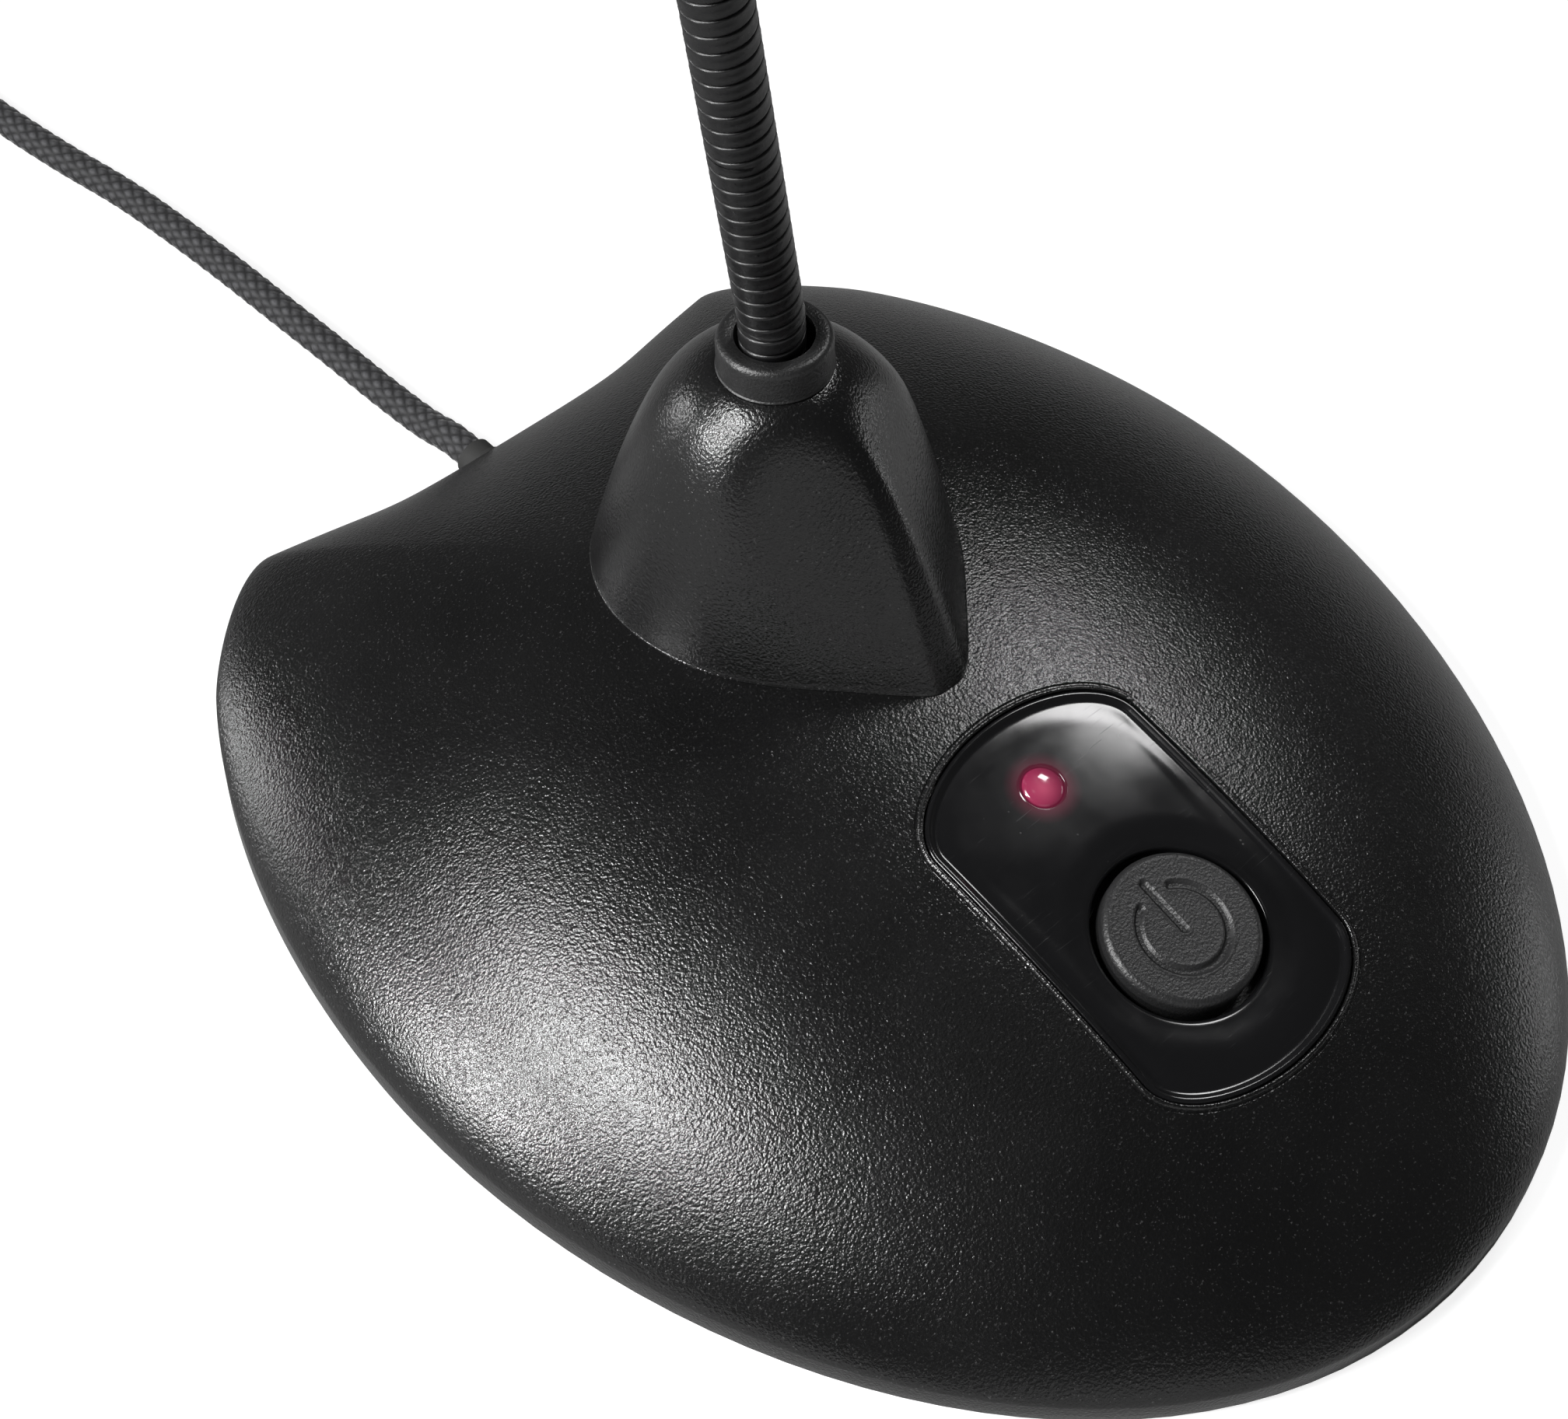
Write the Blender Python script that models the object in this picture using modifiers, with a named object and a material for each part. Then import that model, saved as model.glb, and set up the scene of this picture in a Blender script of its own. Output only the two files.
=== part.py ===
"""Desk gooseneck microphone, modelled as it is put together.

Metres, Z up, the table at z = 0, the user's side at -Y. The base's own footprint is centred on
the origin. A domed base carries a glossy panel with a push button and a lamp, a prow-shaped turret
holds the foot of a bending neck, and a braided lead runs out behind into a tied coil.
"""

import math

import bmesh
import bpy
from mathutils import Euler, Matrix, Vector
from mathutils.geometry import interpolate_bezier

mm = 0.001

# ---------------------------------------------------------------- driving dimensions

gap = 0.3 * mm  # between pieces that touch on the real object

# Base outline, right half: nose, widest point, rear corner, middle of the rear edge.
nose_y = -65.5 * mm
half_width = 57.0 * mm
widest_y = 8.8 * mm
corner_side = Vector((43.0 * mm, 55.0 * mm))
corner_rear = Vector((28.2 * mm, 65.8 * mm))
rear_middle_y = 62.9 * mm
nose_pull = 33.0 * mm
side_pull_front = 38.0 * mm
side_pull_rear = 15.5 * mm
corner_lean = math.radians(126)  # heading of the outline as it runs into the rear corner
corner_pull_in = 16.0 * mm
corner_pull = 4.0 * mm
rear_lean = math.radians(9.5)  # the rear edge runs up to its corners, so it is a little hollow
rear_pull = 15.2 * mm
middle_pull = 18.0 * mm
rear_skew = 0.04  # the rear edge runs a little further back on the left
skew_from_y = 15.0 * mm

# Dome over that outline.
crown_y = 14.5 * mm
crown_z = 25.0 * mm
rim_z = 3.7 * mm
rear_rim_z = 5.6 * mm
rim_lift = 1.0 * mm
dome_n = 2.0
dome_m = 1.4
rear_dome_n = 1.7
rear_dome_m = 1.2
shell_wall = 2.4 * mm

# Panel on the front slope, in its own tilted frame with the button at its origin.
panel_slope = math.radians(12.5)
button_y = -29.7 * mm
button_z = 19.0 * mm
panel_top_v = 25.6 * mm
panel_bottom_v = -15.2 * mm
panel_half_width = 12.9 * mm
panel_bulge = 2.2 * mm
panel_corner = 5.0 * mm
panel_depth = 0.5 * mm  # the panel's face lies this far below the dome's crown line
panel_thick = 1.6 * mm
panel_floor = 1.8 * mm
panel_margin = 0.45 * mm

button_r = 7.45 * mm
well_r = 8.2 * mm
button_proud = 1.0 * mm
button_travel = 1.5 * mm
button_top = 1.6 * mm
button_wall = 1.2 * mm
button_edge = 0.7 * mm
button_flange = 0.8 * mm
button_flange_r = 8.9 * mm

lamp_v = 17.9 * mm
lamp_r = 2.05 * mm
lamp_height = 0.75 * mm
lamp_flange_r = 2.9 * mm
lamp_flange = 0.8 * mm

# Circuit board and switch below the panel.
switch_side = 6.2 * mm
switch_top = -3.2 * mm
switch_height = 3.6 * mm
plunger_r = 1.7 * mm
plunger_reach = 1.1 * mm
board_thick = 1.6 * mm
board_half_width = 14.0 * mm
board_front_v = -13.0 * mm
board_rear_v = 24.0 * mm
board_screw_v = 11.0 * mm
board_screw_u = 11.0 * mm

# Turret and the ring on it.
neck_y = 24.5 * mm
turret_rear_r = 17.2 * mm
turret_tip_y = -1.2 * mm
turret_tip_pull = 2.2 * mm
turret_cheek = Vector((9.6 * mm, 6.7 * mm))
turret_cheek_lean = math.radians(48.5)
turret_cheek_pull_in = 10.8 * mm
turret_cheek_pull_out = 7.4 * mm
turret_turn = math.radians(5)  # where the prow's cheek runs into the round rear
turret_turn_pull = 7.9 * mm
turret_shift = 0.8 * mm  # the turret sits a little right of the neck
turret_foot_z = 21.0 * mm
turret_n = 1.09
turret_m = 1.80
turret_shoulder = 1.3 * mm
turret_top_z = 48.6 * mm
turret_top_r = 7.0 * mm
turret_wall = 2.2 * mm
turret_hole_r = 5.2 * mm
socket_lean = math.radians(4.5)
collar_r = 5.5 * mm
collar_hole_r = 3.7 * mm
collar_height = 3.4 * mm
collar_round = 0.7 * mm

# Neck: a root through the ring, then short links, each turning on the one below it.
neck_r = 2.9 * mm
link_length = 22.0 * mm
link_count = 8
first_joint = 14.0 * mm  # along the neck above the ring's top
cup_drop = 1.6 * mm
neck_lean = math.radians(9.0)  # towards -X at the root
neck_lean_top = math.radians(3.0)
neck_pitch_root = math.radians(-2.0)
neck_pitch_step = math.radians(4.6)  # forward bend from link to link above the straight part
straight_links = 2

# Microphone head.
ferrule_length = 12.0 * mm
head_r = 6.2 * mm
housing_length = 20.0 * mm
housing_wall = 1.0 * mm
grille_length = 16.0 * mm
grille_wall = 0.9 * mm
capsule_r = 4.0 * mm
capsule_length = 6.5 * mm

# Foot of the neck inside the turret.
bush_r = 5.0 * mm
bush_bore_r = 3.6 * mm
bush_flange_r = 9.0 * mm
bush_flange = 2.0 * mm
bush_top_z = 42.0 * mm
bush_low_z = 14.0 * mm
root_low_z = 24.0 * mm
root_bend_z = 42.5 * mm
nut_flats = 15.0 * mm
nut_height = 4.0 * mm

# Underside.
foot_r = 5.5 * mm
foot_height = 1.4 * mm
foot_recess = 0.6 * mm
plate_inset = 3.6 * mm
plate_z = 1.2 * mm
plate_thick = 1.6 * mm
feet_at = [(-34.0 * mm, -26.0 * mm), (34.0 * mm, -26.0 * mm), (-26.0 * mm, 50.0 * mm), (26.0 * mm, 50.0 * mm)]
bosses_at = [(-20.0 * mm, -43.0 * mm), (20.0 * mm, -43.0 * mm), (-40.0 * mm, 36.0 * mm), (40.0 * mm, 36.0 * mm)]
boss_r = 3.4 * mm
screw_r = 1.35 * mm
screw_head_r = 2.7 * mm
screw_head = 0.75 * mm
screw_length = 7.5 * mm
ballast_half_width = 27.0 * mm
ballast_front_y = 4.0 * mm
ballast_rear_y = 50.0 * mm
ballast_height = 8.0 * mm
ballast_corner = 6.0 * mm
ballast_screws_at = [(-17.0 * mm, 13.0 * mm), (17.0 * mm, 13.0 * mm)]

# Lead.
cord_r = 1.75 * mm
cord_exit_x = -3.2 * mm
cord_exit_z = 3.5 * mm
grommet_r = 2.5 * mm
grommet_flange_r = 3.3 * mm
grommet_flange = 1.2 * mm
grommet_out = 2.0 * mm
grommet_neck = 4.8 * mm
coil_mid_r = 20.0 * mm
coil_width = 15.0 * mm
coil_height = 12.0 * mm
coil_at = Vector((-29.0 * mm, 188.0 * mm))
tie_width = 8.0 * mm
tie_thick = 0.9 * mm
tie_clear = 0.8 * mm  # the coil bends away from the straight strap
coil_lift = 1.3 * mm
tail_at = Vector((-54.6 * mm, 175.6 * mm))
tail_length = 8.0 * mm
plug_width = 15.5 * mm
plug_length = 24.0 * mm
plug_height = 7.6 * mm
plug_shell_width = 12.0 * mm
plug_shell_length = 14.0 * mm
plug_shell_height = 4.5 * mm
plug_shell_wall = 0.35 * mm
plug_tongue_height = 1.9 * mm


# ---------------------------------------------------------------- scene and helpers


def clear_scene():
    for obj in list(bpy.data.objects):
        bpy.data.objects.remove(obj)


def new_collection(name, helper=False):
    made = bpy.data.collections.new(name)
    made.hide_render = helper
    bpy.context.scene.collection.children.link(made)
    return made


def material(name, color, roughness, metallic=0.0):
    made = bpy.data.materials.get(name)
    if made:
        return made
    made = bpy.data.materials.new(name)
    made.use_nodes = True
    shader = made.node_tree.nodes["Principled BSDF"]
    shader.inputs["Base Color"].default_value = (*color, 1.0)
    shader.inputs["Roughness"].default_value = roughness
    shader.inputs["Metallic"].default_value = metallic
    made.diffuse_color = (*color, 1.0)
    return made


def add_object(name, data, look, parent=None):
    """A visible piece when it has a look, and otherwise a hidden cutter."""
    obj = bpy.data.objects.new(name, data)
    if look:
        parts.objects.link(obj)
        data.materials.append(look)
    else:
        cutters.objects.link(obj)
        obj.hide_render = True
        obj.display_type = "WIRE"
    obj.parent = parent
    return obj


def mesh_from(name, bm):
    bmesh.ops.recalc_face_normals(bm, faces=bm.faces)
    mesh = bpy.data.meshes.new(name)
    bm.to_mesh(mesh)
    bm.free()
    return mesh


def turned(name, profile, look, parent=None, steps=32):
    """A turned piece about Z from (radius, z) points that run down its outer side."""
    mesh = bpy.data.meshes.new(name)
    points = [(r, 0.0, z) for r, z in profile]
    edges = [(i, i + 1) for i in range(len(points) - 1)]
    if profile[0][0] > 0.0:
        edges.append((len(points) - 1, 0))
    mesh.from_pydata(points, edges, [])
    obj = add_object(name, mesh, look, parent)
    screw = obj.modifiers.new("turn", "SCREW")
    screw.steps = steps
    screw.render_steps = steps
    screw.use_merge_vertices = True
    screw.merge_threshold = 1e-6
    screw.use_smooth_shade = True
    return obj


def cylinder(name, radius, bottom, top, look=None, parent=None, at=(0.0, 0.0), steps=24):
    obj = turned(name, [(0.0, top), (radius, top), (radius, bottom), (0.0, bottom)], look, parent, steps)
    obj.location = (at[0], at[1], 0.0)
    return obj


def prism(name, outline, bottom, top, look=None, parent=None):
    """A straight block over a closed outline of (x, y) points."""
    bm = bmesh.new()
    face = bm.faces.new([bm.verts.new((x, y, bottom)) for x, y in outline])
    raised = bmesh.ops.extrude_face_region(bm, geom=[face])["geom"]
    verts = [v for v in raised if isinstance(v, bmesh.types.BMVert)]
    bmesh.ops.translate(bm, verts=verts, vec=(0.0, 0.0, top - bottom))
    return add_object(name, mesh_from(name, bm), look, parent)


def box(name, half_x, half_y, bottom, top, look=None, parent=None, at=(0.0, 0.0)):
    corners = [(-half_x, -half_y), (half_x, -half_y), (half_x, half_y), (-half_x, half_y)]
    outline = [(at[0] + x, at[1] + y) for x, y in corners]
    return prism(name, outline, bottom, top, look, parent)


def stack(name, rings, look=None, parent=None):
    """A solid through closed rings of equal count, from the bottom up, capped flat at both ends."""
    bm = bmesh.new()
    rows = [[bm.verts.new(p) for p in ring] for ring in rings]
    count = len(rows[0])
    for low, high in zip(rows, rows[1:]):
        for i in range(count):
            j = (i + 1) % count
            bm.faces.new((low[i], low[j], high[j], high[i]))
    bm.faces.new(rows[0])
    bm.faces.new(rows[-1])
    return add_object(name, mesh_from(name, bm), look, parent)


def boolean(target, other, operation):
    made = target.modifiers.new(operation.lower() + " " + other.name, "BOOLEAN")
    made.operation = operation
    made.solver = "EXACT"
    made.object = other


def cut(target, *cutters_of_it):
    for other in cutters_of_it:
        boolean(target, other, "DIFFERENCE")


def join(target, *others):
    for other in others:
        boolean(target, other, "UNION")


def bevel(obj, width, segments=2, angle=40.0):
    made = obj.modifiers.new("edge", "BEVEL")
    made.width = width
    made.segments = segments
    made.limit_method = "ANGLE"
    made.angle_limit = math.radians(angle)


def rounded_rectangle(half_x, front_y, rear_y, radius, steps=5):
    points = []
    centres = [
        (half_x - radius, front_y + radius, -90.0),
        (half_x - radius, rear_y - radius, 0.0),
        (-half_x + radius, rear_y - radius, 90.0),
        (-half_x + radius, front_y + radius, 180.0),
    ]
    for x, y, start in centres:
        for k in range(steps + 1):
            a = math.radians(start + 90.0 * k / steps)
            points.append((x + radius * math.cos(a), y + radius * math.sin(a)))
    return points


def bezier_points(knots, steps):
    """Points along cubic pieces; each knot is (place, pull before it, pull after it)."""
    points = []
    for (a, _, a_out), (b, b_in, _) in zip(knots, knots[1:]):
        piece = interpolate_bezier(a, a + a_out, b + b_in, b, steps + 1)
        points.extend(piece[:-1])
    return points + [knots[-1][0]]


def mirrored(right):
    """A whole outline, counter-clockwise, from its right half that runs from front to rear."""
    left = [Vector((-p.x, p.y)) for p in reversed(right[1:-1])]
    return right + left


# ---------------------------------------------------------------- base


def base_outline(inset=0.0):
    heading = Vector((math.cos(corner_lean), math.sin(corner_lean)))
    across = Vector((1.0, 0.0))
    up = Vector((0.0, 1.0))
    rear = Vector((math.cos(rear_lean), math.sin(rear_lean)))
    knots = [
        (Vector((0.0, nose_y)), None, across * nose_pull),
        (Vector((half_width, widest_y)), up * -side_pull_front, up * side_pull_rear),
        (corner_side, heading * -corner_pull_in, heading * corner_pull),
        (corner_rear, rear * corner_pull, rear * -rear_pull),
        (Vector((0.0, rear_middle_y)), across * middle_pull, None),
    ]
    right = bezier_points(knots, base_steps)
    if inset:
        moved = []
        for i, p in enumerate(right):
            ahead = right[min(i + 1, len(right) - 1)]
            behind = right[max(i - 1, 0)]
            along = (ahead - behind).normalized()
            moved.append(p + Vector((-along.y, along.x)) * inset)
        moved[0].x = 0.0
        moved[-1].x = 0.0
        right = moved
    outline = mirrored(right)
    for p in outline:
        p.y -= rear_skew * p.x * min(max((p.y - skew_from_y) / (corner_rear.y - skew_from_y), 0.0), 1.0)
    return outline


def rear_share(point):
    """0 on the front and sides of the dome, rising to 1 towards its rear edge."""
    away = Vector((point.x, point.y - crown_y))
    turn = away.y / away.length
    share = min(max((turn - 0.45) / 0.4, 0.0), 1.0)
    return share * share * (3.0 - 2.0 * share)


def dome_z(rho, rear):
    wall = rim_z + (rear_rim_z - rim_z) * rear
    n = dome_n + (rear_dome_n - dome_n) * rear
    m = dome_m + (rear_dome_m - dome_m) * rear
    return wall + (crown_z - wall) * (1.0 - rho**n) ** (1.0 / m)


def dome(name, bottom, inset=0.0, lower=0.0, look=None, shares=None):
    """The base's domed solid, drawn in by inset and lowered by lower."""
    centre = Vector((0.0, crown_y))
    outline = base_outline(inset)
    rings = [[(p.x, p.y, bottom) for p in outline]]
    for rho in shares or dome_rings:
        ring = []
        for p in outline:
            q = centre + (p - centre) * rho
            ring.append((q.x, q.y, dome_z(rho, rear_share(p)) - lower))
        rings.append(ring)
    return stack(name, rings, look)


base_steps = 10
dome_rings = [1.0, 0.995, 0.985, 0.965, 0.935, 0.895, 0.84, 0.77, 0.68, 0.57, 0.44, 0.3, 0.16, 0.04]
hollow_rings = [1.0, 0.98, 0.94, 0.86, 0.74, 0.58, 0.38, 0.06]


def panel_outline(grow=0.0):
    """The panel's rounded outline in its own frame, with ends that bulge a little."""
    w = panel_half_width + grow
    top = panel_top_v + grow
    bottom = panel_bottom_v - grow
    shoulder = panel_bulge
    r = panel_corner + grow
    across = Vector((1.0, 0.0))
    up = Vector((0.0, 1.0))
    knots = [
        (Vector((0.0, bottom)), None, across * (w * 0.55)),
        (Vector((w, bottom + shoulder + r)), up * (-r * 0.75), up * r),
        (Vector((w, top - shoulder - r)), up * -r, up * (r * 0.75)),
        (Vector((0.0, top)), across * (w * 0.55), None),
    ]
    right = bezier_points(knots, 8)
    return mirrored(right)


def make_base_shell():
    """The moulded cover: a domed skin with a pocket for the panel and posts for its screws."""
    shell = dome("base_shell", rim_lift, look=black_plastic)
    hollow = dome("shell_hollow", -5.0 * mm, inset=shell_wall, lower=shell_wall, shares=hollow_rings)
    pocket_floor = -(panel_depth + panel_thick + gap)
    pad = prism("panel_pad", panel_outline(2.6 * mm), pocket_floor - panel_floor, 20.0 * mm, parent=panel_frame)
    cut(hollow, pad)
    cut(shell, hollow)
    limit = dome("boss_limit", -5.0 * mm, inset=0.5 * shell_wall, lower=0.5 * shell_wall, shares=hollow_rings)
    low = plate_z + plate_thick + gap
    hole_top = low + screw_length + gap
    for i, (x, y) in enumerate(bosses_at):
        boss = cylinder(f"boss_{i}", boss_r, low, crown_z, at=(x, y))
        boolean(boss, limit, "INTERSECT")
        join(shell, boss)
        cut(shell, cylinder(f"boss_hole_{i}", screw_r + gap, low - 1.0 * mm, hole_top, at=(x, y), steps=16))
    pocket = prism("panel_pocket", panel_outline(panel_margin), pocket_floor, 20.0 * mm, parent=panel_frame)
    well = cylinder("button_well", well_r, -20.0 * mm, 5.0 * mm, parent=panel_frame, steps=48)
    lamp_hole_r = lamp_flange_r + gap
    lamp_hole = cylinder("lamp_hole", lamp_hole_r, -20.0 * mm, 5.0 * mm, parent=panel_frame, at=(0.0, lamp_v))
    neck_hole = cylinder("neck_hole", bush_r + gap, 5.0 * mm, 60.0 * mm, at=(0.0, neck_y))
    cord_hole = cylinder("cord_hole", grommet_r + gap, -12.0 * mm, 12.0 * mm)
    cord_hole.rotation_euler.x = math.radians(-90)
    cord_hole.location = (cord_exit_x, rear_middle_y, cord_exit_z)
    cord_slot = box(
        "cord_slot", grommet_r + gap, 12.0 * mm, -5.0 * mm, cord_exit_z, at=(cord_exit_x, rear_middle_y)
    )
    room_end = gap - grommet_neck
    flange_room = cylinder("flange_room", grommet_flange_r + gap, -12.0 * mm, room_end)
    flange_room.rotation_euler.x = math.radians(-90)
    flange_room.location = (cord_exit_x, rear_middle_y, cord_exit_z)
    cut(shell, pocket, well, lamp_hole, neck_hole, cord_hole, cord_slot, flange_room)
    return shell


def make_bottom_plate():
    top = plate_z + plate_thick
    outline = [(p.x, p.y) for p in base_outline(plate_inset)]
    plate = prism("bottom_plate", outline, plate_z, top, dark_steel)
    for i, (x, y) in enumerate(bosses_at + ballast_screws_at):
        cut(plate, cylinder(f"plate_hole_{i}", screw_r + gap, -1.0 * mm, top + 1.0 * mm, at=(x, y), steps=16))
    slot = box(
        "plate_cord_slot",
        grommet_flange_r + gap,
        12.0 * mm,
        -5.0 * mm,
        20.0 * mm,
        at=(cord_exit_x, rear_middle_y),
    )
    cut(plate, slot)
    return plate


def make_feet():
    """Four round rubber feet stuck under the plate."""
    low_r = foot_r - foot_recess
    for i, (x, y) in enumerate(feet_at):
        profile = [
            (0.0, plate_z - gap),
            (foot_r, plate_z - gap),
            (foot_r, 0.4 * mm),
            (low_r, 0.0),
            (0.0, 0.0),
        ]
        foot = turned(f"foot_{i + 1}", profile, rubber, steps=28)
        foot.location = (x, y, 0.0)


def make_screw(name, x, y):
    head_low = plate_z - gap - screw_head
    shank_top = plate_z + plate_thick + gap + screw_length
    profile = [
        (0.0, shank_top),
        (screw_r * 0.6, shank_top),
        (screw_r, shank_top - 0.8 * mm),
        (screw_r, plate_z - gap),
        (screw_head_r, plate_z - gap),
        (screw_head_r, head_low + 0.25 * mm),
        (screw_head_r - 0.4 * mm, head_low),
        (0.0, head_low),
    ]
    screw = turned(name, profile, zinc, steps=16)
    screw.location = (x, y, 0.0)


def make_ballast():
    """A steel weight screwed to the plate below the neck."""
    low = plate_z + plate_thick + gap
    outline = rounded_rectangle(ballast_half_width, ballast_front_y, ballast_rear_y, ballast_corner)
    ballast = prism("ballast_weight", outline, low, low + ballast_height, bare_steel)
    for i, (x, y) in enumerate(ballast_screws_at):
        cut(ballast, cylinder(f"ballast_hole_{i}", screw_r + gap, -1.0 * mm, 30.0 * mm, at=(x, y), steps=16))
    return ballast


# ---------------------------------------------------------------- panel


def make_panel():
    """The glossy insert, with holes for the button and the lamp."""
    face = -panel_depth
    back = face - panel_thick
    panel = prism("panel_insert", panel_outline(), back, face, glossy_black, panel_frame)
    well = cylinder("panel_button_hole", well_r, -9.0 * mm, 9.0 * mm, parent=panel_frame, steps=48)
    lamp_hole = cylinder("panel_lamp_hole", lamp_r + gap, -9.0 * mm, 9.0 * mm, parent=panel_frame, at=(0.0, lamp_v))
    cut(panel, well, lamp_hole)
    return panel


def make_lamp():
    face = -panel_depth
    back = face - panel_thick - gap
    profile = [(0.0, face + lamp_height)]
    for k in range(1, 6):
        a = math.radians(90 - 18 * k)
        profile.append((lamp_r * math.cos(a), face + lamp_height * math.sin(a)))
    profile += [
        (lamp_r, back),
        (lamp_flange_r, back),
        (lamp_flange_r, back - lamp_flange),
        (0.0, back - lamp_flange),
    ]
    lamp = turned("lamp_lens", profile, red_lens, panel_frame, steps=24)
    lamp.location = (0.0, lamp_v, 0.0)
    holder_top = back - lamp_flange - gap
    holder = cylinder("lamp_holder", lamp_flange_r, board_top_w() + gap, holder_top, white_plastic, panel_frame)
    holder.location = (0.0, lamp_v, 0.0)


def board_top_w():
    return switch_top - switch_height - gap


def make_button():
    """The round cap: a cup with a rounded top edge and a flange that keeps it under the panel."""
    floor_low = -(panel_depth + panel_thick + gap + panel_floor)
    flange_top = floor_low - gap
    flange_low = flange_top - button_flange
    under = button_proud - button_top
    profile = [(0.0, button_proud)]
    for k in range(5):
        a = math.radians(90 - 22.5 * k)
        profile.append(
            (button_r - button_edge + button_edge * math.cos(a), button_proud - button_edge + button_edge * math.sin(a))
        )
    profile += [
        (button_r, flange_top),
        (button_flange_r, flange_top),
        (button_flange_r, flange_low),
        (button_r - button_wall, flange_low),
        (button_r - button_wall, under),
        (0.0, under),
    ]
    turned("button_cap", profile, button_plastic, panel_frame, steps=48)
    cylinder(
        "switch_plunger", plunger_r, switch_top - plunger_reach, under - gap, white_plastic, panel_frame, steps=20
    )


def make_switch_and_board():
    half = switch_side / 2
    top = switch_top
    low = switch_top - switch_height
    switch = box("switch_body", half, half, low, top, dark_plastic, panel_frame)
    well_low = top - plunger_reach - button_travel - gap
    bore = cylinder("switch_bore", plunger_r + gap, well_low, top + 1.0 * mm, parent=panel_frame, steps=20)
    cut(switch, bore)
    outline = rounded_rectangle(board_half_width, board_front_v, board_rear_v, 2.0 * mm, steps=3)
    board_top = low - gap
    board_low = board_top - board_thick
    board = prism("circuit_board", outline, board_low, board_top, board_green, panel_frame)
    for i, side in enumerate((-1, 1)):
        u = side * board_screw_u
        hole = cylinder(
            f"board_hole_{i}", 1.1 * mm, board_low - 1.0 * mm, board_top + 1.0 * mm,
            parent=panel_frame, at=(u, board_screw_v), steps=14,
        )
        cut(board, hole)
        make_board_screw(f"board_screw_{i + 1}", u, board_low)
    floor_low = -(panel_depth + panel_thick + gap + panel_floor)
    for i, side in enumerate((-1, 1)):
        post = turned(
            f"board_post_{i + 1}",
            [
                (2.4 * mm, floor_low - gap),
                (2.4 * mm, board_top + gap),
                (1.1 * mm, board_top + gap),
                (1.1 * mm, floor_low - gap),
            ],
            brass,
            panel_frame,
            steps=16,
        )
        post.location = (side * board_screw_u, board_screw_v, 0.0)


def make_board_screw(name, u, board_low):
    head_top = board_low - gap
    profile = [
        (0.0, head_top + board_thick + 2.0 * mm),
        (0.8 * mm, head_top + board_thick + 2.0 * mm),
        (0.8 * mm, head_top),
        (1.9 * mm, head_top),
        (1.9 * mm, head_top - 0.9 * mm),
        (0.0, head_top - 0.9 * mm),
    ]
    screw = turned(name, profile, zinc, panel_frame, steps=14)
    screw.location = (u, board_screw_v, 0.0)


# ---------------------------------------------------------------- turret


def turret_foot(inset=0.0):
    """The turret's footprint: a round rear drawn forward into a prow."""
    centre = Vector((0.0, neck_y))
    across = Vector((1.0, 0.0))
    cheek = Vector((math.cos(turret_cheek_lean), math.sin(turret_cheek_lean)))
    start = Vector((math.cos(turret_turn), math.sin(turret_turn)))
    tangent = Vector((-start.y, start.x))
    knots = [
        (Vector((0.0, turret_tip_y)), None, across * turret_tip_pull),
        (turret_cheek, cheek * -turret_cheek_pull_in, cheek * turret_cheek_pull_out),
        (centre + start * turret_rear_r, tangent * -turret_turn_pull, None),
    ]
    right = bezier_points(knots, 5)
    arc_steps = 10
    for k in range(1, arc_steps + 1):
        a = turret_turn + (math.pi / 2 - turret_turn) * k / arc_steps
        right.append(centre + Vector((math.cos(a), math.sin(a))) * turret_rear_r)
    right[-1].x = 0.0
    shrink = 1.0 - inset / turret_rear_r
    return mirrored([centre + (p - centre) * shrink for p in right])


def turret_solid(name, inset=0.0, look=None, levels=12):
    """A cone over the prow-shaped foot that turns round towards its top."""
    centre = Vector((0.0, neck_y))
    foot = turret_foot(inset)
    top_r = turret_top_r - inset
    top_z = turret_top_z - inset
    rings = []

    def ring(out, s, radius, z):
        made = []
        for p in foot:
            away = p - centre
            q = centre + away * out + away.normalized() * radius * (1.0 - out)
            lean = math.tan(socket_lean) * (q.y - neck_y) * s
            made.append((q.x + turret_shift, q.y, z - lean))
        rings.append(made)

    ring(1.0, 0.0, top_r, turret_foot_z - 6.0 * mm)
    for k in range(levels + 1):
        s = k / levels * 0.965
        out = (1.0 - s**turret_n) ** (1.0 / turret_m)
        ring(out, s, top_r, turret_foot_z + (top_z - turret_foot_z) * s)
    for k in range(1, 4):
        a = math.radians(30 * k)
        radius = top_r + 0.6 * mm - turret_shoulder * (1.0 - math.cos(a))
        z = top_z - 0.035 * (top_z - turret_foot_z) * (1.0 - math.sin(a))
        ring(0.0, 1.0, radius, z)
    return stack(name, rings, look)



def make_turret():
    """The moulded cover that hides the neck's fixing, cut to sit on the dome."""
    turret = turret_solid("turret_cover", look=satin_plastic)
    hollow = turret_solid("turret_hollow", inset=turret_wall, levels=6)
    seat = dome("turret_seat", -5.0 * mm, lower=-gap)
    hole = cylinder("turret_hole", collar_hole_r, 30.0 * mm, 70.0 * mm, at=(0.0, neck_y))
    cut(turret, hollow, seat, hole)
    return turret


def make_collar():
    """The ring that trims the hole in the turret's top."""
    profile = [(collar_hole_r + 0.3 * mm, collar_height)]
    for k in range(5):
        a = math.radians(90 - 22.5 * k)
        profile.append(
            (
                collar_r - collar_round + collar_round * math.cos(a),
                collar_height - collar_round + collar_round * math.sin(a),
            )
        )
    profile += [
        (collar_r, 0.0),
        (collar_hole_r, 0.0),
        (collar_hole_r, collar_height - 0.4 * mm),
    ]
    return turned("collar_ring", profile, satin_plastic, socket_frame, steps=36)


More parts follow.
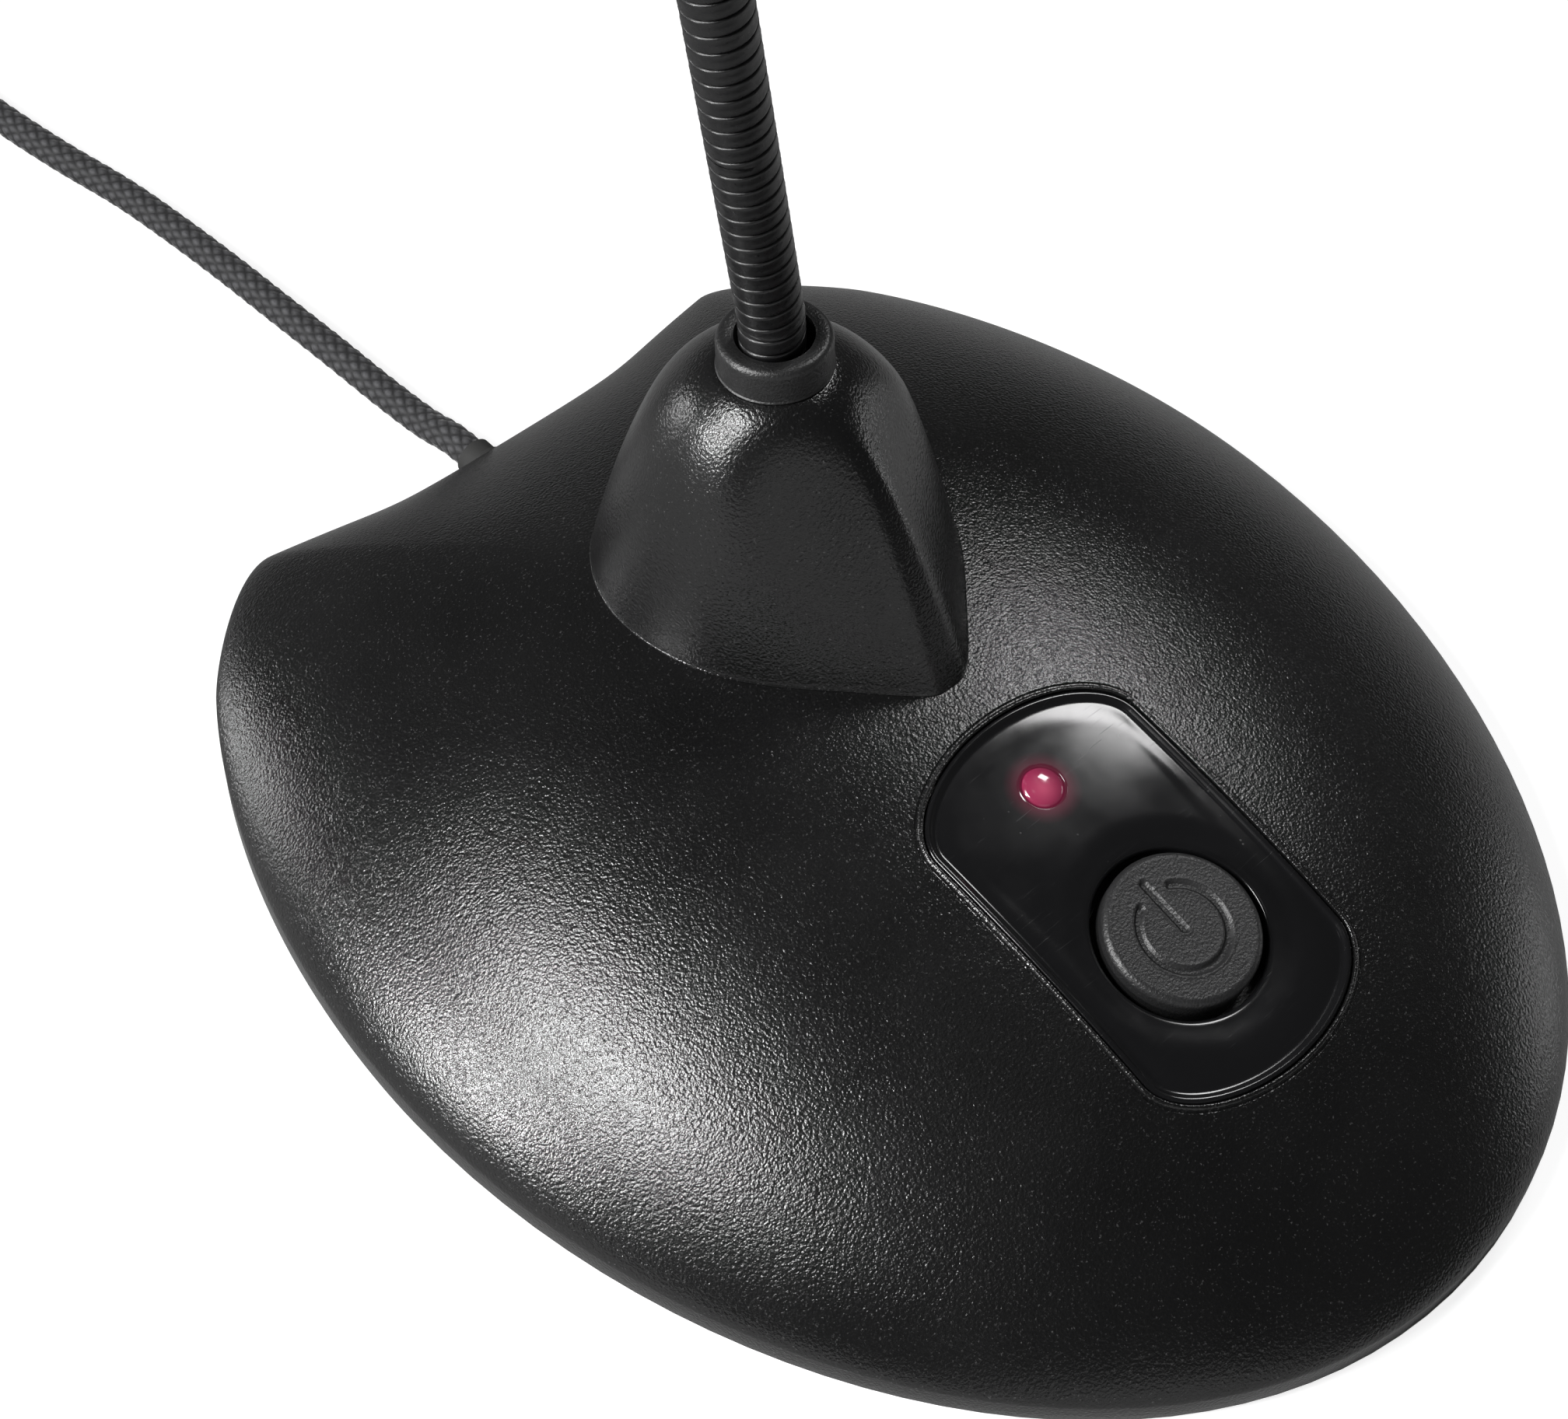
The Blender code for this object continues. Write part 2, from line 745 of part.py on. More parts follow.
def make_neck_bush():
    """The threaded steel bush that carries the neck, clamped through the dome by a nut."""
    low = crown_z + gap
    profile = [
        (bush_bore_r, bush_top_z),
        (bush_r, bush_top_z),
        (bush_r, low + bush_flange),
        (bush_flange_r, low + bush_flange),
        (bush_flange_r, low),
        (bush_r, low),
        (bush_r, bush_low_z),
        (bush_bore_r, bush_low_z),
    ]
    bush = turned("neck_bush", profile, zinc, steps=32)
    bush.location = (0.0, neck_y, 0.0)
    nut_top = nut_top_z
    hexagon = []
    for k in range(6):
        a = math.radians(60 * k)
        corner = nut_flats / 2 / math.cos(math.radians(30))
        hexagon.append((corner * math.cos(a), neck_y + corner * math.sin(a)))
    nut = prism("neck_nut", hexagon, nut_top - nut_height, nut_top, brass)
    cut(nut, cylinder("nut_hole", bush_r + gap, 0.0, 60.0 * mm, at=(0.0, neck_y), steps=32))


nut_top_z = 18.8 * mm

# ---------------------------------------------------------------- neck


def neck_direction(index):
    """Unit direction of link number index; the root is 0."""
    beyond = max(index - straight_links, 0)
    pitch = neck_pitch_root + neck_pitch_step * beyond
    share = beyond / (link_count - straight_links)
    lean = neck_lean + (neck_lean_top - neck_lean) * share
    return Vector((-math.tan(lean), -math.tan(pitch), 1.0)).normalized()


def neck_joints():
    """The turning centre at the foot of each link, and the last link's top."""
    ring_top = turret_top_z + gap + collar_height
    place = Vector((0.0, neck_y, ring_top)) + neck_direction(0) * first_joint
    joints = [place]
    for i in range(1, link_count + 1):
        place = place + neck_direction(i) * link_length
        joints.append(place)
    return joints


def ring_at(centre, direction, radius, steps=20):
    turn = direction.to_track_quat("Z", "Y")
    points = []
    for k in range(steps):
        a = 2 * math.pi * k / steps
        points.append(centre + turn @ Vector((radius * math.cos(a), radius * math.sin(a), 0.0)))
    return points


def cup_rings(joint, direction):
    """The hollow end that the next link's round foot turns in."""
    cup_r = neck_r + gap
    rings = [ring_at(joint - direction * cup_drop, direction, neck_r)]
    start = math.asin(cup_drop / cup_r)
    for k in range(5):
        a = start + (math.radians(84) - start) * k / 4
        rings.append(ring_at(joint - direction * cup_r * math.sin(a), direction, cup_r * math.cos(a)))
    return rings


def dome_foot_rings(joint, direction):
    rings = []
    for k in range(5):
        a = math.radians(84 - 21 * k)
        rings.append(ring_at(joint - direction * neck_r * math.sin(a), direction, neck_r * math.cos(a)))
    return rings


def make_neck():
    joints = neck_joints()
    lean = neck_direction(0)
    upright = Vector((0.0, 0.0, 1.0))
    ring_top = Vector((0.0, neck_y, turret_top_z + gap + collar_height))
    bend_top = ring_top - lean * (collar_height + 1.5 * mm)
    bend_top.x *= 0.7
    rings = [ring_at(Vector((0.0, neck_y, root_low_z)), upright, neck_r)]
    rings.append(ring_at(Vector((0.0, neck_y, root_bend_z)), upright, neck_r))
    rings.append(ring_at(bend_top, (upright + lean).normalized(), neck_r))
    rings.append(ring_at(ring_top, lean, neck_r))
    rings += cup_rings(joints[0], lean)
    stack("neck_root", rings, neck_steel)
    for i in range(1, link_count + 1):
        direction = neck_direction(i)
        rings = dome_foot_rings(joints[i - 1], direction)
        if i < link_count:
            rings += cup_rings(joints[i], direction)
        else:
            rings.append(ring_at(joints[i], direction, neck_r))
        stack(f"neck_link_{i}", rings, neck_steel)


# ---------------------------------------------------------------- microphone head


def make_head():
    """The ferrule, housing, capsule and grille in line with the last link."""
    joint_sink = 5.0 * mm
    base = -joint_sink
    ferrule_top = base + ferrule_length
    low_r = neck_r + 1.1 * mm
    ferrule = [
        (0.0, ferrule_top),
        (head_r, ferrule_top),
        (head_r, ferrule_top - 1.0 * mm),
        (low_r, base + 1.5 * mm),
        (low_r, base),
        (neck_r + gap, base),
        (neck_r + gap, gap),
        (0.0, gap),
    ]
    turned("neck_ferrule", ferrule, satin_metal, head_frame, steps=36)

    low = ferrule_top + gap
    top = low + housing_length
    inner_r = head_r - housing_wall
    floor = low + 1.5 * mm
    housing = [
        (0.0, floor),
        (inner_r, floor),
        (inner_r, top),
        (head_r, top),
        (head_r, low),
        (0.0, low),
    ]
    turned("mic_housing", housing, satin_metal, head_frame, steps=36)

    capsule_low = top - 3.5 * mm
    capsule_top = capsule_low + capsule_length
    cylinder("mic_capsule", capsule_r, capsule_low, capsule_top, bare_steel, head_frame, steps=28)
    holder = [
        (inner_r - gap, top - 0.5 * mm),
        (inner_r - gap, capsule_low - 1.2 * mm),
        (capsule_r - 1.0 * mm, capsule_low - 1.2 * mm),
        (capsule_r - 1.0 * mm, capsule_low - gap),
        (capsule_r + gap, capsule_low - gap),
        (capsule_r + gap, top - 0.5 * mm),
    ]
    holder = holder[-1:] + holder[:-1]
    turned("capsule_holder", holder, rubber, head_frame, steps=28)

    grille_low = top + gap
    grille_top = grille_low + grille_length
    inside = head_r - grille_wall
    round_r = 4.0 * mm
    profile = [(0.0, grille_top)]
    for k in range(6):
        a = math.radians(90 - 18 * k)
        profile.append((head_r - round_r + round_r * math.cos(a), grille_top - round_r + round_r * math.sin(a)))
    profile += [(head_r, grille_low), (inside, grille_low)]
    inner_round = round_r - grille_wall
    for k in range(6):
        a = math.radians(18 * k)
        profile.append(
            (inside - inner_round + inner_round * math.cos(a), grille_top - round_r + inner_round * math.sin(a))
        )
    profile.append((0.0, grille_top - grille_wall))
    grille = turned("mic_grille", profile, dark_mesh, head_frame, steps=36)
    for k in range(grille_slots):
        slot = box(
            f"grille_slot_{k}", 9.0 * mm, 0.5 * mm, grille_low + 2.5 * mm, grille_top - 5.0 * mm,
            parent=head_frame,
        )
        slot.rotation_euler.z = math.pi * k / grille_slots
        cut(grille, slot)
    hole = cylinder("grille_front_hole", 1.2 * mm, grille_top - 3.0 * mm, grille_top + 3.0 * mm, parent=head_frame)
    cut(grille, hole)


grille_slots = 6

# ---------------------------------------------------------------- lead


def make_grommet():
    """The rubber bush that the lead leaves by, with its flange inside the rear wall."""
    out = grommet_out
    profile = [
        (0.0, out),
        (grommet_r - 0.4 * mm, out),
        (grommet_r, out - 0.5 * mm),
        (grommet_r, -grommet_neck),
        (grommet_flange_r, -grommet_neck),
        (grommet_flange_r, -grommet_neck - grommet_flange),
        (0.0, -grommet_neck - grommet_flange),
    ]
    grommet = turned("cord_grommet", profile, rubber, steps=28)
    grommet.rotation_euler.x = math.radians(-90)
    grommet.location = (cord_exit_x, rear_middle_y, cord_exit_z)


def smooth_route(points, step):
    """Evenly spaced places on a smooth curve through hand-chosen points."""
    ends = [points[0] * 2 - points[1]] + points + [points[-1] * 2 - points[-2]]
    fine = []
    for i in range(1, len(ends) - 2):
        a, b, c, d = ends[i - 1 : i + 3]
        for k in range(20):
            t = k / 20
            fine.append(
                0.5 * (2 * b + (c - a) * t + (2 * a - 5 * b + 4 * c - d) * t**2 + (3 * b - a - 3 * c + d) * t**3)
            )
    fine.append(points[-1])
    even = [fine[0]]
    for p in fine[1:]:
        if (p - even[-1]).length >= step:
            even.append(p)
    even[-1] = fine[-1]
    return even


def tube(name, route, radius, look):
    curve = bpy.data.curves.new(name, "CURVE")
    curve.dimensions = "3D"
    curve.bevel_depth = radius
    curve.bevel_resolution = 2
    curve.use_fill_caps = True
    spline = curve.splines.new("POLY")
    spline.points.add(len(route) - 1)
    for point, place in zip(spline.points, route):
        point.co = (*place, 1.0)
    return add_object(name, curve, look)


def make_cord():
    """The lead's straight run, its coil with a strap round it, and its plug."""
    lie = cord_r + 0.05 * mm
    start_y = rear_middle_y + grommet_out + gap
    route = [Vector((cord_exit_x, start_y, cord_exit_z))]
    for x, y, z in [
        (-3.2, 68.6, 3.2),
        (-3.4, 73.0, 2.2),
    ]:
        route.append(Vector((x, y, z)) * mm)
    for x, y in [
        (-3.7, 79.5),
        (-4.1, 88.0),
        (-4.6, 96.5),
        (-5.1, 105.0),
        (-5.8, 113.5),
        (-6.8, 122.0),
        (-8.6, 131.5),
        (-10.0, 141.0),
        (-10.8, 150.0),
        (-10.8, 159.0),
        (-10.4, 166.9),
    ]:
        route.append(Vector((x * mm, y * mm, lie)))
    tube("cord", smooth_route(route, 4.0 * mm), cord_r, braid)

    half = coil_width / 2
    low = coil_lift
    high = coil_lift + coil_height
    soft = 3.5 * mm
    corners = [
        (coil_mid_r + half - soft, high - soft, 90.0),
        (coil_mid_r + half - soft, low + soft, 0.0),
        (coil_mid_r - half + soft, low + soft, -90.0),
        (coil_mid_r - half + soft, high - soft, -180.0),
    ]
    profile = []
    for r, z, start in corners:
        for k in range(3):
            a = math.radians(start - 45 * k)
            profile.append((r + soft * math.cos(a), z + soft * math.sin(a)))
    coil = turned("cord_coil", profile, braid, steps=40)
    coil.location = (coil_at.x, coil_at.y, 0.0)

    inner = rounded_rectangle(half + tie_clear, low - gap, high + gap, soft)
    tie_half = half + tie_clear + tie_thick
    outer = rounded_rectangle(tie_half, low - gap - tie_thick, high + gap + tie_thick, soft + tie_thick)
    shift = coil_mid_r
    strap = prism("cord_tie", [(x + shift, y) for x, y in outer], -tie_width / 2, tie_width / 2, strap_black, tie_frame)
    window = prism("tie_window", [(x + shift, y) for x, y in inner], -tie_width, tie_width, parent=tie_frame)
    cut(strap, window)

    body_mid = plug_height / 2
    tail = [
        Vector((tail_at.x, tail_at.y, lie)),
        Vector((tail_at.x, tail_at.y - 0.35 * tail_length, lie + 0.3 * mm)),
        Vector((tail_at.x, tail_at.y - 0.7 * tail_length, body_mid - 0.2 * mm)),
        Vector((tail_at.x, tail_at.y - tail_length, body_mid)),
    ]
    tube("cord_tail", smooth_route(tail, 1.5 * mm), cord_r, braid)
    plug_rear = tail_at.y - tail_length - gap
    plug_front = plug_rear - plug_length
    body = box(
        "plug_body", plug_width / 2, plug_length / 2, 0.0, plug_height, dark_plastic,
        at=(tail_at.x, (plug_rear + plug_front) / 2),
    )
    bevel(body, 1.2 * mm, 2)
    half_shell = plug_shell_width / 2
    shell_front = plug_front - gap - plug_shell_length
    shell_mid_y = plug_front - gap - plug_shell_length / 2
    shell_low = body_mid - plug_shell_height / 2
    shell_high = body_mid + plug_shell_height / 2
    shell = box(
        "plug_shell", half_shell, plug_shell_length / 2, shell_low, shell_high, bright_metal,
        at=(tail_at.x, shell_mid_y),
    )
    wall = plug_shell_wall
    mouth = box(
        "plug_mouth", half_shell - wall, plug_shell_length / 2, shell_low + wall, shell_high - wall,
        at=(tail_at.x, shell_mid_y - wall * 2),
    )
    cut(shell, mouth)
    tongue_length = plug_shell_length - 3 * wall
    box(
        "plug_tongue", half_shell - wall - gap, tongue_length / 2 - gap, shell_low + wall + gap,
        shell_low + wall + gap + plug_tongue_height, white_plastic,
        at=(tail_at.x, shell_front + tongue_length / 2 + 0.2 * mm),
    )


# ---------------------------------------------------------------- assembly

clear_scene()
parts = new_collection("gooseneck_microphone")
cutters = new_collection("cutters", helper=True)

black_plastic = material("black_plastic", (0.018, 0.018, 0.020), 0.55)
satin_plastic = material("satin_plastic", (0.016, 0.016, 0.018), 0.38)
dark_plastic = material("dark_plastic", (0.02, 0.02, 0.02), 0.5)
button_plastic = material("button_plastic", (0.020, 0.020, 0.022), 0.5)
glossy_black = material("glossy_black", (0.008, 0.008, 0.009), 0.06)
white_plastic = material("white_plastic", (0.75, 0.75, 0.72), 0.45)
red_lens = material("red_lens", (0.35, 0.01, 0.06), 0.12)
rubber = material("rubber", (0.02, 0.02, 0.02), 0.85)
zinc = material("zinc", (0.62, 0.62, 0.60), 0.35, 1.0)
brass = material("brass", (0.70, 0.52, 0.22), 0.35, 1.0)
bare_steel = material("bare_steel", (0.50, 0.50, 0.51), 0.4, 1.0)
dark_steel = material("dark_steel", (0.05, 0.05, 0.05), 0.5, 0.6)
neck_steel = material("neck_steel", (0.02, 0.02, 0.022), 0.3, 0.7)
satin_metal = material("satin_metal", (0.025, 0.025, 0.027), 0.35, 0.6)
dark_mesh = material("dark_mesh", (0.03, 0.03, 0.03), 0.45, 0.7)
bright_metal = material("bright_metal", (0.72, 0.72, 0.72), 0.22, 1.0)
board_green = material("board_green", (0.03, 0.14, 0.06), 0.45)
braid = material("braid", (0.02, 0.02, 0.021), 0.7)
strap_black = material("strap_black", (0.03, 0.03, 0.03), 0.8)


def add_frame(name, place, turn):
    made = bpy.data.objects.new(name, None)
    made.empty_display_size = 5.0 * mm
    made.location = place
    made.rotation_euler = turn
    parts.objects.link(made)
    return made


panel_frame = add_frame("panel_frame", (0.0, button_y, button_z), Euler((panel_slope, 0.0, 0.0)))
socket_frame = add_frame(
    "socket_frame", (0.0, neck_y, turret_top_z + gap), Euler((-socket_lean, 0.0, 0.0))
)
head_turn = neck_direction(link_count).to_track_quat("Z", "Y").to_euler()
head_frame = add_frame("head_frame", neck_joints()[-1], head_turn)
tie_turn = Matrix(((0.0, 0.0, -1.0), (-1.0, 0.0, 0.0), (0.0, 1.0, 0.0))).to_euler()
tie_frame = add_frame("tie_frame", (coil_at.x, coil_at.y, 0.0), tie_turn)

make_base_shell()
make_bottom_plate()
make_feet()
for number, (screw_x, screw_y) in enumerate(bosses_at):
    make_screw(f"base_screw_{number + 1}", screw_x, screw_y)
for number, (screw_x, screw_y) in enumerate(ballast_screws_at):
    make_screw(f"ballast_screw_{number + 1}", screw_x, screw_y)
make_ballast()
make_panel()
make_lamp()
make_button()
make_switch_and_board()
make_turret()
make_collar()
make_neck_bush()
make_neck()
make_head()
make_grommet()
make_cord()
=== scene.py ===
import bisect
import math
import bmesh
import bpy
from mathutils import Matrix, Vector
from mathutils.geometry import interpolate_bezier


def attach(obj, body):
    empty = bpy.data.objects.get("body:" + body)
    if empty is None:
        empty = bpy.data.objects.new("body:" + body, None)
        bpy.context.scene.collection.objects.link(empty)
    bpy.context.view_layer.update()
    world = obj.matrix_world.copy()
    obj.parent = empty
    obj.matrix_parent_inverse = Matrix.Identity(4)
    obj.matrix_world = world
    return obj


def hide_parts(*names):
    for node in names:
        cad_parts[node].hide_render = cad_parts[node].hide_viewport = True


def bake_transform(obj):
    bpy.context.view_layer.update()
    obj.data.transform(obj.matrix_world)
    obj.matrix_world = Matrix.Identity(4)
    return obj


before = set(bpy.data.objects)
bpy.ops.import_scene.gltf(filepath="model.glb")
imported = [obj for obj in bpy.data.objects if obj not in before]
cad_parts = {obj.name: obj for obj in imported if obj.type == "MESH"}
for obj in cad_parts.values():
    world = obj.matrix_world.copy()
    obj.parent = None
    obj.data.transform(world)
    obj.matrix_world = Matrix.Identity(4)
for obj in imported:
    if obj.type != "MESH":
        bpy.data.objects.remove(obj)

for name in ("Cube", "Light", "Camera"):
    if name in bpy.data.objects:
        bpy.data.objects.remove(bpy.data.objects[name])
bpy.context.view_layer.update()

# ---------------------------------------------------------------- camera
# Seen from the front left and above, close enough that the neck and the lead
# run out of view.
bpy.ops.object.camera_add()
camera = bpy.context.object
camera.name = "camera"
camera.matrix_world = Matrix((
    (0.7297, 0.5393, -0.4203, -0.1314),
    (-0.6830, 0.6034, -0.4116, -0.1073),
    (0.0316, 0.5874, 0.8087, 0.2518),
    (0.0, 0.0, 0.0, 1.0),
))
camera.data.lens = 71.43
camera.data.sensor_width = 36.0
camera.data.shift_x = 0.0028
camera.data.shift_y = 0.0044
camera.data.clip_start = 0.01
bpy.context.scene.camera = camera
mm = 0.001


# ---------------------------------------------------------------- lead
# A slim signal lead in a woven textile sleeve, eight strands each way. It
# leaves the rear wall through a rubber bush, runs straight back along the desk
# and is wound up behind, held by a strap.
class Finish:
    """A material in the making. Its textures are laid over the piece by the piece's own coordinates."""

    def __init__(self, name, specular=0.5):
        self.material = bpy.data.materials.new(name)
        self.material.use_nodes = True
        self.tree = self.material.node_tree
        self.where = self.add("TexCoord").outputs
        self.give("Specular IOR Level", specular)

    def feed(self, socket, value):
        """Joins a socket to a node's output, or sets it to a value."""
        if isinstance(value, bpy.types.NodeSocket):
            self.tree.links.new(value, socket)
        else:
            socket.default_value = value

    def add(self, kind, **settings):
        """A node with its sockets fed and its properties set."""
        node = self.tree.nodes.new("ShaderNode" + kind)
        for key, value in settings.items():
            if key in node.inputs:
                self.feed(node.inputs[key], value)
            else:
                setattr(node, key, value)
        return node

    def give(self, socket, value):
        """Feeds one of the shader's sockets."""
        self.feed(self.tree.nodes["Principled BSDF"].inputs[socket], value)

    def over(self, kind, output, **settings):
        """What a texture laid over the piece puts out."""
        return self.add(kind, Vector=self.where["Object"], **settings).outputs[output]

    def noise(self, scale, detail=2.0, roughness=0.5):
        return self.over("TexNoise", "Fac", Scale=scale, Detail=detail, Roughness=roughness)

    def ramp(self, value, low, high, low_at=0.0, high_at=1.0):
        """A colour between two colours, by value."""
        node = self.add("ValToRGB", Fac=value)
        first, last = node.color_ramp.elements
        first.position, first.color = low_at, (*low, 1.0)
        last.position, last.color = high_at, (*high, 1.0)
        return node.outputs["Color"]

    def span(self, value, low, high, from_low=0.0, from_high=1.0):
        """value, moved from one range to another."""
        ranges = {"From Min": from_low, "From Max": from_high, "To Min": low, "To Max": high}
        return self.add("MapRange", Value=value, **ranges).outputs["Result"]

    def maths(self, operation, *values):
        node = self.add("Math", operation=operation)
        for socket, value in zip(node.inputs, values):
            self.feed(socket, value)
        return node.outputs[0]

    def blended(self, way, share, first, second):
        """Two colours put together in one of the Mix node's ways, as strongly as share says."""
        node = self.add("Mix", data_type="RGBA", blend_type=way)
        for place, value in ((0, share), (6, first), (7, second)):
            self.feed(node.inputs[place], value)
        return node.outputs[2]

    def embossed(self, height, strength, depth):
        """Lets height show as relief in the finish, up to depth."""
        bump = self.add("Bump", Height=height, Strength=strength, Distance=depth)
        self.give("Normal", bump.outputs["Normal"])


def eased(share):
    """share held between 0 and 1, with a soft start and end."""
    share = min(max(share, 0.0), 1.0)
    return share * share * (3.0 - 2.0 * share)


def piece_from(bm, name):
    """Turns a bmesh into a piece of that name."""
    mesh = bpy.data.meshes.new(name)
    bm.to_mesh(mesh)
    bm.free()
    made = bpy.data.objects.new(name, mesh)
    bpy.context.scene.collection.objects.link(made)
    return made


lead_r = 1.75 * mm
lie = lead_r + 0.05 * mm  # height of the lead's centre where it lies on the desk
strands = 8
weave_length = 1.85 * mm  # one crossing of the weave along the lead
lead_exit = Vector((-3.2, 65.1, 3.5)) * mm


def woven_textile(name, dark, light):
    """Woven sleeve: its UV map counts crossings, U round the lead and V along it."""
    look = Finish(name, 0.35)
    uv = look.add("SeparateXYZ", Vector=look.where["UV"]).outputs
    ways = []
    for sign in ("ADD", "SUBTRACT"):
        ways.append(look.maths("SINE", look.maths("MULTIPLY", look.maths(sign, uv["X"], uv["Y"]), math.pi)))
    cell = look.maths("MULTIPLY", *ways)
    pillow = look.maths("ABSOLUTE", cell)
    threads, patches = look.noise(5200.0, 3.0, 0.6), look.noise(260.0)
    # Darker in the grooves between the pillows: painted shade.
    tone = look.ramp(pillow, dark, light, 0.05, 0.85)
    # cell makes alternate diamonds lighter and darker, a painted sheen of the strands' two directions; threads and
    # patches are the yarn's own tone.
    for share, *shade in (
        (0.55, threads, (0.35, 0.35, 0.36), (1.35, 1.35, 1.35), 0.3, 0.75),
        (0.6, cell, (0.7, 0.7, 0.7), (1.2, 1.2, 1.2), 0.35, 0.65),
        (0.4, patches, (0.8, 0.8, 0.8), (1.2, 1.2, 1.2), 0.35, 0.65),
    ):
        tone = look.blended("MULTIPLY", share, tone, look.ramp(*shade))
    look.give("Base Color", tone)
    look.give("Roughness", look.span(threads, 0.55, 0.8))
    look.give("Sheen Weight", 0.25)
    look.give("Sheen Roughness", 0.4)
    look.embossed(look.maths("MULTIPLY_ADD", threads, 0.35, pillow), 0.6, 0.00012)
    return look.material


# The route: out of the bush, down to the desk and back to the coil.
run_out = [lead_exit] + [Vector(p) * mm for p in ((-3.2, 68.6, 3.2), (-3.4, 73.0, 2.2))]
for x, y in (
    (-3.7, 79.5), (-4.1, 88.0), (-4.6, 96.5), (-5.1, 105.0), (-5.8, 113.5), (-6.8, 122.0),
    (-8.6, 131.5), (-10.0, 141.0), (-10.8, 150.0), (-10.8, 159.0), (-9.8, 166.9),
):
    run_out.append(Vector((x * mm, y * mm, lie)))

# The coil: turns side by side and in layers, each new turn taking the next place.
coil_at = Vector((-29.0, 188.0)) * mm
places = [(3, 0), (2, 0), (1, 0), (0, 0), (0, 1), (0, 2), (1, 2), (1, 1), (2, 1), (2, 2), (3, 2), (3, 1)]
coil_start, coil_end = math.radians(-24.0), math.radians(172.0)
strap_angle = math.radians(-90.0)


def turn_place(index):
    """How far out and how high the lead's centre lies in turn number index."""
    column, layer = places[min(index, len(places) - 1)]
    return (14.6 + 3.6 * column) * mm, lie + 3.58 * mm * layer


def coil_point(sweep):
    """The lead's centre after it has gone round by sweep from the coil's start."""
    angle = coil_start + sweep
    since = angle - strap_angle
    index = math.floor((since + math.pi / 7) / (2 * math.pi)) - 1
    share = eased(((since + math.pi / 7) % (2 * math.pi)) / (math.pi * 2 / 7))
    before, after = turn_place(max(index, 0)), turn_place(index + 1)
    if angle < strap_angle + 2 * math.pi - math.pi / 7:
        before = after = turn_place(0)
    near = (since + math.pi) % (2 * math.pi) - math.pi
    lift = 1.2 * mm * math.exp(-((near / 0.55) ** 2))
    r = before[0] + (after[0] - before[0]) * share
    z = before[1] + (after[1] - before[1]) * share + lift
    return Vector((coil_at.x + r * math.cos(angle), coil_at.y + r * math.sin(angle), z))


coil_sweep = 2 * math.pi * 11 + coil_end - coil_start
coil_steps = 11 * 40 + 22
coil = [coil_point(coil_sweep * k / coil_steps) for k in range(coil_steps + 1)]

# The far end: off the coil, down to the desk and into the plug.
tail_at = Vector((-54.6, 175.6, lie / mm)) * mm
tail_length = 8.0 * mm
plug_mid_z = 3.8 * mm
run_in = [
    Vector((-57.3 * mm, 186.0 * mm, 3.4 * mm)),
    Vector((-56.0 * mm, 180.0 * mm, 2.1 * mm)),
    tail_at,
    tail_at + Vector((0.0, -0.35 * tail_length, 0.3 * mm)),
    tail_at + Vector((0.0, -0.7 * tail_length, plug_mid_z - lie - 0.2 * mm)),
    tail_at + Vector((0.0, -tail_length, plug_mid_z - lie)),
]


def smooth_route(points, step):
    """Places on a smooth curve through the given ones, about a step apart."""
    ends = [points[0] * 2 - points[1]] + points + [points[-1] * 2 - points[-2]]
    made = []
    for a, b, c, d in zip(ends, ends[1:], ends[2:], ends[3:]):
        count = max(int((c - b).length / step + 0.5), 1)
        for k in range(count):
            t = k / count
            bend, twist = 2 * a - 5 * b + 4 * c - d, 3 * b - a - 3 * c + d
            made.append(0.5 * (2 * b + (c - a) * t + bend * t**2 + twist * t**3))
    return made + [points[-1]]


route = smooth_route(run_out, 0.3 * mm)[:-1]
seen_rings = len(route)
route += smooth_route([route[-1]] + coil + run_in, 1.6 * mm)[1:]


def woven_tube(name, path, radius, fine_until):
    """A tube along path with the weave's pillows raised on it, finer up to ring number fine_until."""
    bm = bmesh.new()
    uv_layer = bm.loops.layers.uv.new("weave")
    sides = strands * 5
    along = 0.0
    across = Vector((1.0, 0.0, 0.0))
    rings, lengths = [], []
    for i, place in enumerate(path):
        ahead = (path[min(i + 1, len(path) - 1)] - path[max(i - 1, 0)]).normalized()
        if i:
            along += (place - path[i - 1]).length
        across = (across - ahead * across.dot(ahead)).normalized()
        up = ahead.cross(across)
        v = along / weave_length
        ring = []
        for k in range(sides):
            u = strands * k / sides
            raised = abs(math.sin(math.pi * (u + v)) * math.sin(math.pi * (u - v)))
            a = 2 * math.pi * k / sides
            r = radius - 0.17 * mm * (1.0 - raised) if i < fine_until else radius - 0.08 * mm
            ring.append(bm.verts.new(place + (across * math.cos(a) + up * math.sin(a)) * r))
        rings.append(ring)
        lengths.append(v)
    for i in range(len(rings) - 1):
        for k in range(sides):
            j = (k + 1) % sides
            face = bm.faces.new((rings[i][k], rings[i][j], rings[i + 1][j], rings[i + 1][k]))
            face.smooth = True
            for loop, (ku, iv) in zip(face.loops, ((k, i), (k + 1, i), (k + 1, i + 1), (k, i + 1))):
                loop[uv_layer].uv = (strands * ku / sides, lengths[iv])
    bm.faces.new(rings[0][::-1])
    bm.faces.new(rings[-1])
    return piece_from(bm, name)


lead = woven_tube("lead", route, lead_r + 0.02 * mm, seen_rings)
lead.data.materials.append(woven_textile("lead sleeve", (0.006, 0.006, 0.007), (0.045, 0.045, 0.048)))

# ---------------------------------------------------------------- plug
# A flat four-contact plug on the lead's far end: a moulded grip with ribs, a
# folded steel shell with two latch windows, and a white tongue inside it.
def only_this(obj):
    """Leaves obj alone selected and active."""
    if bpy.context.object and bpy.context.object.mode != "OBJECT":
        bpy.ops.object.mode_set(mode="OBJECT")
    bpy.ops.object.select_all(action="DESELECT")
    obj.select_set(True)
    bpy.context.view_layer.objects.active = obj


